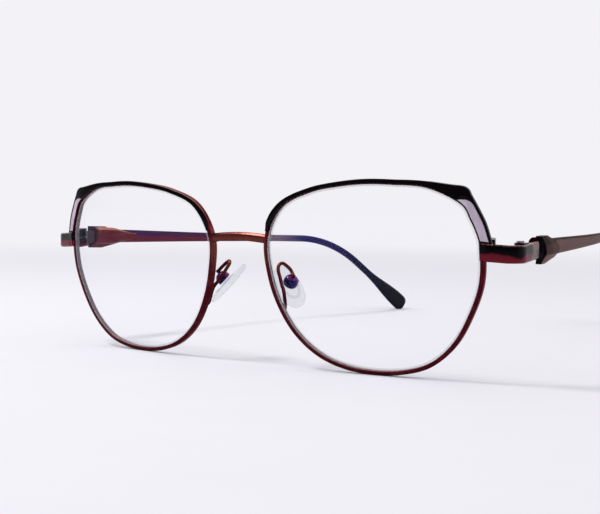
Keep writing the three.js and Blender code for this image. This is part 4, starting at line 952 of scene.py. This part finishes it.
def arm_surface(lay):
    """Temple arm: a flat bar with a softly bevelled outer side, narrowing towards the tip."""
    s = np.linspace(0.02 * MM, TIP_START + 1.5 * MM, 260)
    inner, t = arm_inner(s), lay.s.arm_thickness
    outer, h, c = inner + t, arm_height(s) / 2, t / 3
    section = stacked(
        (inner, -h), (inner, h), (outer - c, h), (outer, h - c), (outer, c - h), (outer - c, -h))
    return skin(lay.temple(s, rounded(section, 0.16 * MM, 3)))


def tip_surface(lay):
    """Temple tip: a squared oval that swells into a paddle and closes as a squared half round.

    It is flat where it rests on the floor.
    """
    end, half, neck, floor = lay.temple_length, lay.s.tip_height / 2, 1.1 * MM, 0.01 * MM
    rounding = np.sin(np.linspace(0, np.pi / 2, 24))[1:]
    s = np.concatenate([np.linspace(TIP_START, end - half, 200), end - half + half * rounding])
    grow = smoothstep(s, end - 22 * MM, end - 3.5 * MM)
    closing = np.clip((end - s) / half, 0, 1)
    round_off = np.clip(1 - (1 - closing) ** 3, 0, 1) ** (1 / 3) * 0.985 + 0.015
    start = smoothstep(s, TIP_START - 1e-6, TIP_START + 0.7 * MM) * 0.25 + 0.75
    h = (neck * (1 - grow) + half * grow) * round_off * start
    t = neck * (0.4 + 0.6 * round_off) * start * np.minimum(1, round_off * 1.6)
    angles = circle(48)
    squash = lambda v: np.sign(v) * np.abs(v) ** 0.8
    section = np.stack([t[:, None] * squash(np.cos(angles)), h[:, None] * squash(np.sin(angles))], -1)
    grid = lay.temple(s, section)
    grid[..., 2] = np.maximum(grid[..., 2], floor)
    return skin(grid)


def sleeve_surface(lay):
    """Sleeve in three long facets: its wavy front edge is hollow behind a lip, and its rear runs to a point.

    Its upper and lower ends reach inwards over and under the arm. Each row lies at one height, from the
    rear along the outside to the lip, into the hollow and back inside.
    """
    h, reach, shift = 3.0 * MM, 12.6 * MM, np.array([0, 0.45, 0.35]) * MM
    share = np.concatenate([
        np.linspace(-1, -0.34, 16), np.linspace(-0.33, 0.4, 20), np.linspace(0.41, 1, 16)])
    edge = catmull([(0, -1), (0.42 * MM, -0.62), (1.1 * MM, -0.1), (0.45 * MM, 0.5), (0, 1)])
    front = np.interp(share, edge[:, 1], edge[:, 0])
    rear = reach * np.interp(
        share, [-1, -0.92, -0.62, 0, 0.68, 0.93, 1], [0.3, 0.38, 0.72, 1, 0.66, 0.44, 0.4])
    out = np.interp(share, [-1, -0.34, 0.4, 1], np.array([0.95, 2.0, 2.0, 1.25]) * MM)
    t = np.concatenate([[0, 0.03], np.linspace(0.06, 0.9, 24), [0.95, 0.985, 1]])[:, None]
    y = rear * (1 - t) + front * t
    fade = smoothstep(rear - y, 0, 0.5 * MM)
    swell = (0.72 + 0.28 * smoothstep(t, 0, 0.75)) * (0.35 + 0.65 * fade)
    x = 0.3 * MM + (out - 0.3 * MM) * swell - 0.12 * MM * smoothstep(t, 0.97, 1)
    ends = smoothstep(share, 0.74, 0.8) + smoothstep(-share, 0.52, 0.57)
    deep = front + np.minimum(1.6 * MM, (rear - front) * 0.6) * (1 - 0.97 * ends)
    inside = (0.2 - 0.8 * ends) * MM
    y = np.vstack([y, front, deep, deep, rear])
    x = np.vstack([x, out - 0.42 * MM, out - 0.5 * MM, inside + 0.3 * MM, inside])
    section = np.stack([x, np.broadcast_to(share * h, x.shape)], -1)
    return skin((carry(lay, y, section) - shift).transpose(1, 0, 2))


def carry(lay, y, section):
    """Points at their own distances along the temple, offset across it."""
    flat = lay.temple(y.reshape(-1), section.reshape(-1, 1, 2))
    return flat.reshape(*y.shape, 3)


def housing_surface(lay):
    """Spring housing: a leaf with a rounded crown that thins and narrows to the rear."""
    s = np.linspace(0, HOUSING_LENGTH, 90)
    tail = smoothstep(s, HOUSING_LENGTH * 0.35, HOUSING_LENGTH)
    height, end_height, depth, least = 4.75 * MM, 1.62 * MM, 2.0 * MM, 0.25 * MM
    h = (height * (1 - tail) + end_height * tail) / 2
    outer = arm_inner(s) - GAP
    inner = np.minimum(tail * (depth + outer - least) - depth, outer - least)
    c = (outer - inner) * 0.32
    section = stacked(
        (inner, c - h), (inner, h - c), (inner + c, h), (outer, h), (outer, -h), (inner + c, -h))
    return skin(lay.temple(s, rounded(section, 0.3 * MM, 4)))


class PadFrame:
    """Place of the left nose pad: across it, up it and towards the nose."""

    def __init__(self, lay):
        facing = unit(np.array([-0.62, 0.41, -0.665]))
        up = np.array([-0.59, 0.25, 0.77])
        up = unit(up - facing * (up @ facing))
        aside, behind, below = 8.8 * MM, 7.6 * MM, 2.85 * MM
        self.basis = np.stack([np.cross(up, facing), up, facing])
        self.origin = np.array([aside, lay.origin[1] + behind, lay.origin[2] - below])
        self.half = np.array([lay.s.pad_width, lay.s.pad_length, 2.0 * MM]) / 2

    def world(self, points):
        """Points [across, up, towards the nose] of the pad's own frame, as places."""
        return points @ self.basis + self.origin


def spun(radius, level, turn):
    """Surface of revolution about a pad's axis: its radius and level at each step, by angle."""
    return np.stack([radius * np.cos(turn), radius * np.sin(turn), level + 0 * turn], -1)


def pad_surface(lay):
    """Nose pad: ovals, wider below, stacked from a flat back over a rounded rim to a domed front.

    On its back lie a half-round line bent to a horseshoe, and the oval stem that the screw holds.
    """
    pad = PadFrame(lay)
    levels = np.array([
        (0.001, -0.7), (0.5, -0.7), (0.86, -0.68), (0.95, -0.55), (0.99, -0.3), (1, 0), (0.985, 0.25),
        (0.93, 0.48), (0.83, 0.68), (0.68, 0.83), (0.48, 0.93), (0.25, 0.985), (0.001, 1)])
    steps = along(catmull(levels), np.linspace(0, 1, 56))
    turn = circle(96)
    y = np.sin(turn)
    x = np.cos(turn) * (1 - 0.14 * y)
    size, level = steps[:, :1], steps[:, 1:]
    oval = np.stack([size * x, size * y, level + 0 * x], -1) * pad.half
    ridge = circle(12)
    sweep = np.linspace(np.radians(150), np.radians(390), 64)[:, None]
    round_x, round_y = np.cos(sweep), np.sin(sweep)
    across, up, back = 0.62 * pad.half[0], 0.68 * 0.9 * pad.half[1], 0.72 * MM
    centre = np.stack([round_x * across, round_y * up, 0 * sweep - back], -1)
    ring = np.stack([round_x * np.cos(ridge), round_y * np.cos(ridge), np.sin(ridge) + 0 * sweep], -1)
    horseshoe = centre + ring * np.array([0.32, 0.32, 0.22]) * MM
    stem_levels = np.linspace(-0.6, -2.35, 14)[:, None]
    swell = (1 + 0.35 * smoothstep(stem_levels, -1.1, -0.6)) * MM
    stem = spun(swell, stem_levels * MM, circle(32)) * [0.46, 1.05, 1]
    return [skin(pad.world(grid)) for grid in (oval, horseshoe, stem)]


def box_surface(lay):
    """Pad box: a domed button turned about the pad's axis, with a small lip round its mouth."""
    r, top, deep = 1.75 * MM, -1.2 * MM, 2.1 * MM
    profile = catmull(np.array([
        (0.001, 0.02), (0.6, 0.0), (0.94, 0.0), (1.0, 0.1), (1.0, 0.28), (0.95, 0.55), (0.82, 0.8),
        (0.6, 0.96), (0.3, 1.07), (0.001, 1.1)]))
    steps = along(profile, np.linspace(0, 1, 60))
    return skin(PadFrame(lay).world(spun(steps[:, :1] * r, top - steps[:, 1:] * deep, circle(72))))


def pad_arm_surface(lay):
    """Pad arm: a round wire on a smooth curve from the rim's back, up round a loop and onto the pad box.

    Its rings stand square to the curve, turned by the least twist from one to the next.
    """
    pad = PadFrame(lay)
    radius, count = 0.42 * MM, 150
    place, out = lay.places([lay.share_at(-7.8 * MM, 0.7, 0.5)])
    base = lay.world(lay.sheet(place + out * lay.s.rim_face / 2, np.full(1, -lay.s.rim_depth)))[0]
    lens_centre = np.array([-place[0, 0], -place[0, 1], -lay.s.base_radius])
    direction = unit(lens_centre) @ np.stack([lay.out, lay.up, lay.front])
    route = np.array([
        (0.88, -0.42, -2.04), (0.84, -0.15, -2.2), (0.78, 0.12, -2.4), (0.72, 0.48, -2.76),
        (0.55, 0.68, -3.1), (0.32, 0.7, -3.5), (0.12, 0.52, -3.76), (-0.02, 0.28, -3.86)])
    box_back = 3.4 * MM + radius + 0.02 * MM
    top = pad.world(np.array([0, 0, -box_back]))
    start = np.vstack([base - direction * 0.1 * MM, base + direction * radius])
    curve = catmull(np.vstack([start, pad.world(route * pad.half), top]))
    share = np.linspace(0, 1, count)
    rings = along(curve, share)
    tangent = unit(np.gradient(rings, axis=0))
    reference = unit(np.cross(tangent, pad.basis[2]))
    other = np.cross(tangent, reference)
    turn = circle(20)[:, None]
    flare = 1 + 0.35 * np.exp(-share * 60) + 0.2 * smoothstep(share, 0.93, 1.0)
    around = np.cos(turn) * reference[:, None] + np.sin(turn) * other[:, None]
    return skin(rings[:, None] + radius * flare[:, None, None] * around)


# Operators


class BuildPieces(bpy.types.Operator):
    """Shared way to build a group of pieces on both sides, with {} in a name standing for the side.

    A row of pieces gives the piece's name, surface, finish, body, CAD node and slot, and sometimes the
    angle in degrees from which its edges are sharp. Kept nodes stay, with the finish given for each.
    """

    bl_options = {"REGISTER", "UNDO"}
    pieces, kept = (), {}

    def detail(self, made):
        """Last touch to a piece; most groups have none."""

    def execute(self, context):
        for side, sign in SIDES.items():
            lay = Layout(side)
            for name, surface, look, body, node, slot, *sharp in self.pieces:
                shells = surface(lay)
                shells = shells if isinstance(shells, list) else [shells]
                self.detail(piece(
                    name.format(side), [flip(shell, sign) for shell in shells], finish(look),
                    body.format(side), node.format(side), slot, *sharp))
            for node, look in self.kept.items():
                refinish(node.format(side), look)
        return {"FINISHED"}


class EYEGLASS_OT_rims(BuildPieces):
    """Builds both rims"""

    bl_idname = "eyeglass.rims"
    bl_label = "Rims"
    pieces = (("rim_{}", rim_surface, "burgundy_metal", "front", "eyewire_{}", "burgundy_metal"),)


class EYEGLASS_OT_lenses(BuildPieces):
    """Builds both lenses"""

    bl_idname = "eyeglass.lenses"
    bl_label = "Lenses"
    pieces = (("clear_lens_{}", lens_surface, "lens_clear", "front", "lens_{}", "clear_lens"),)

    def detail(self, made):
        """Gives the rows of faces at the ground edge their own finish."""
        made.data.materials.append(finish("lens_edge"))
        rows = np.arange(len(made.data.polygons)) // LENS_POINTS
        made.data.polygons.foreach_set("material_index", np.isin(rows, LENS_EDGE_ROWS).astype(np.int32))


class EYEGLASS_OT_brow(BuildPieces):
    """Builds the lacquered brow and its enamel panels"""

    bl_idname = "eyeglass.brow"
    bl_label = "Brow"
    pieces = (
        ("brow_{}", trim_surface, "brow_lacquer", "front", "brow_trim_{}", "black_lacquer"),
        ("wing_panel_{}", panel_surface, "lilac_enamel", "front", "brow_inlay_{}", "lilac_enamel"))


class EYEGLASS_OT_bridge(bpy.types.Operator):
    """Builds the bridge"""

    bl_idname = "eyeglass.bridge"
    bl_label = "Bridge"

    def execute(self, context):
        shells = [bridge_surface(Layout())]
        piece("bridge_bar", shells, finish("burgundy_metal"), "front", "bridge", "burgundy_metal")
        return {"FINISHED"}


class EYEGLASS_OT_end_pieces(BuildPieces):
    """Builds the end pieces and finishes the rim locks"""

    bl_idname = "eyeglass.end_pieces"
    bl_label = "End pieces"
    pieces = (("end_bar_{}", end_surface, "end_metal", "front", "end_piece_{}", "burgundy_metal"),)
    kept = {
        "rim_lock_upper_{}": "end_metal", "rim_lock_lower_{}": "end_metal",
        "rim_lock_screw_{}": "screw_steel"}


class EYEGLASS_OT_hinges(BuildPieces):
    """Builds the spring housings and finishes the hinges"""

    bl_idname = "eyeglass.hinges"
    bl_label = "Hinges"
    pieces = ((
        "spring_housing_{}", housing_surface, "housing_metal", "temple_{}", "hinge_housing_{}",
        "burgundy_metal"),)
    kept = {
        "hinge_fork_{}": "hinge_metal", "hinge_tongue_{}": "hinge_metal",
        "hinge_screw_{}": "screw_steel", "hinge_spring_{}": "screw_steel"}


class EYEGLASS_OT_temples(BuildPieces):
    """Builds the temple arms, sleeves and tips"""

    bl_idname = "eyeglass.temples"
    bl_label = "Temples"
    pieces = (
        ("arm_{}", arm_surface, "temple_metal", "temple_{}", "temple_arm_{}", "temple_metal"),
        ("sleeve_{}", sleeve_surface, "temple_metal", "temple_{}", "temple_sleeve_{}", "temple_metal", 18),
        ("tip_{}", tip_surface, "tip_acetate", "temple_{}", "temple_tip_{}", "dark_acetate"))


class EYEGLASS_OT_nose_pads(BuildPieces):
    """Builds the pad arms, pad boxes and nose pads"""

    bl_idname = "eyeglass.nose_pads"
    bl_label = "Nose pads"
    pieces = (
        ("pad_wire_{}", pad_arm_surface, "burgundy_metal", "front", "pad_arm_{}", "burgundy_metal"),
        ("pad_button_{}", box_surface, "violet_chrome", "front", "pad_box_{}", "violet_chrome"),
        ("pad_{}_soft", pad_surface, "pad_clear", "pad_{}", "nose_pad_{}", "pad_plastic"))
    kept = {"pad_screw_{}": "screw_steel"}


class EYEGLASS_OT_stage(bpy.types.Operator):
    """Sets the floor, the studio light and the camera"""

    bl_idname = "eyeglass.stage"
    bl_label = "Stage"

    def execute(self, context):
        scene = context.scene
        scene.view_settings.view_transform = "Standard"
        side = 6.0
        corners = [(-side, -side, 0), (side, -side, 0), (side, side, 0), (-side, side, 0)]
        mesh = bpy.data.meshes.new("floor")
        mesh.from_pydata(corners, [], [(0, 1, 2, 3)])
        mesh.materials.append(finish("studio_floor"))
        floor = bpy.data.objects.new("floor", mesh)
        scene.collection.objects.link(floor)
        self.light_world(scene)
        self.lamp("key", (-0.3, -0.25, 0.6), (0.02, 0, 0.02), 0.16, 1.7)
        self.lamp("rim", (0.45, 0.3, 0.35), (0, 0, 0.02), 0.1, 0.12)
        scene.camera = self.camera()
        return {"FINISHED"}

    def light_world(self, scene):
        """World: the background's colour to the eye and through glass, a soft level to matt surfaces.

        Polished surfaces meet a pale sky instead, with a dark zone low down in front of the frame.
        """
        scene.world = bpy.data.worlds.new("studio")
        g = Graph(scene.world)
        path = g.node("ShaderNodeLightPath")
        _, y, z = g.split(g.node("ShaderNodeTexCoord")["Generated"])
        tone = g.mix(z.ramp(0.75, 0.2) * y.ramp(0.1, -0.35), (0.9, 0.91, 0.95), (0.1, 0.09, 0.1))
        glow = lambda colour, strength: g.node("ShaderNodeBackground", Color=colour, Strength=strength)[0]
        backdrop, gloss = glow((*colours().floor, 1), 1.0), glow(tone, 1.0)
        soft = glow((0.96, 0.955, 0.98, 1), 0.8)
        seen = Field(g, path["Is Camera Ray"])
        seen = seen.math("MAXIMUM", seen, path["Is Transmission Ray"])
        rest = g.blend(path["Is Glossy Ray"], soft, gloss)
        g.node("ShaderNodeOutputWorld", Surface=g.blend(seen, rest, backdrop))

    def placed(self, name, data, axes, place):
        """An object in the scene, turned to three axes."""
        made = bpy.data.objects.new(name, data)
        rows = [[*(axis[k] for axis in axes), place[k]] for k in range(3)]
        made.matrix_world = Matrix([*rows, [0, 0, 0, 1]])
        bpy.context.scene.collection.objects.link(made)
        return made

    def lamp(self, name, place, aim, size, power):
        """A round lamp that faces its aim."""
        data = bpy.data.lights.new(name, "AREA")
        data.shape, data.size, data.energy = "DISK", size, power
        z = unit(np.array(place) - np.array(aim))
        x = unit(np.cross([0, 0, 1.0], z))
        self.placed(name, data, (x, np.cross(z, x), z), place)

    def camera(self):
        """Camera at the photograph's close viewing place, turned left, slightly down and rolled."""
        origin = Layout().origin
        yaw, pitch, roll = 0.5868, 0.0439, -0.00955
        aside, ahead, above = 149.9 * MM, 199.9 * MM, 15.102 * MM
        place = np.array([aside, origin[1] - ahead, origin[2] + above])
        focal_pixels, image_width, sensor = 1073.9, 600, 36.0
        level = math.cos(pitch)
        forward = np.array([-math.sin(yaw) * level, math.cos(yaw) * level, -math.sin(pitch)])
        right = np.array([math.cos(yaw), math.sin(yaw), 0])
        down = np.cross(forward, right)
        c, s = math.cos(roll), math.sin(roll)
        data = bpy.data.cameras.new("photo_camera")
        data.sensor_width, data.lens, data.clip_start = sensor, focal_pixels / image_width * sensor, 0.01
        axes = (c * right + s * down, s * right - c * down, -forward)
        return self.placed("photo_camera", data, axes, place)


OPERATORS = (
    EYEGLASS_OT_rims, EYEGLASS_OT_lenses, EYEGLASS_OT_brow, EYEGLASS_OT_bridge, EYEGLASS_OT_end_pieces,
    EYEGLASS_OT_hinges, EYEGLASS_OT_temples, EYEGLASS_OT_nose_pads, EYEGLASS_OT_stage)


class EYEGLASS_PT_panel(bpy.types.Panel):
    """Sidebar panel with the sizes, the colours and a button for each group of pieces"""

    bl_idname = "EYEGLASS_PT_panel"
    bl_label = "Eyeglass frame"
    bl_space_type = "VIEW_3D"
    bl_region_type = "UI"
    bl_category = "Eyeglasses"

    def draw(self, context):
        layout = self.layout
        for group in (context.scene.eyeglass_sizes, context.scene.eyeglass_colours):
            box = layout.box()
            for name in group.bl_rna.properties.keys():
                if name not in {"rna_type", "name"}:
                    box.prop(group, name)
        for operator in OPERATORS:
            layout.operator(operator.bl_idname)


CLASSES = (EyeglassSizes, EyeglassColours, *OPERATORS, EYEGLASS_PT_panel)


def register():
    for cls in CLASSES:
        bpy.utils.register_class(cls)
    bpy.types.Scene.eyeglass_sizes = PointerProperty(type=EyeglassSizes)
    bpy.types.Scene.eyeglass_colours = PointerProperty(type=EyeglassColours)


def unregister():
    del bpy.types.Scene.eyeglass_colours
    del bpy.types.Scene.eyeglass_sizes
    for cls in reversed(CLASSES):
        bpy.utils.unregister_class(cls)


def main():
    register()
    for operator in OPERATORS:
        group, name = operator.bl_idname.split(".")
        getattr(getattr(bpy.ops, group), name)()


if __name__ == "__main__":
    main()
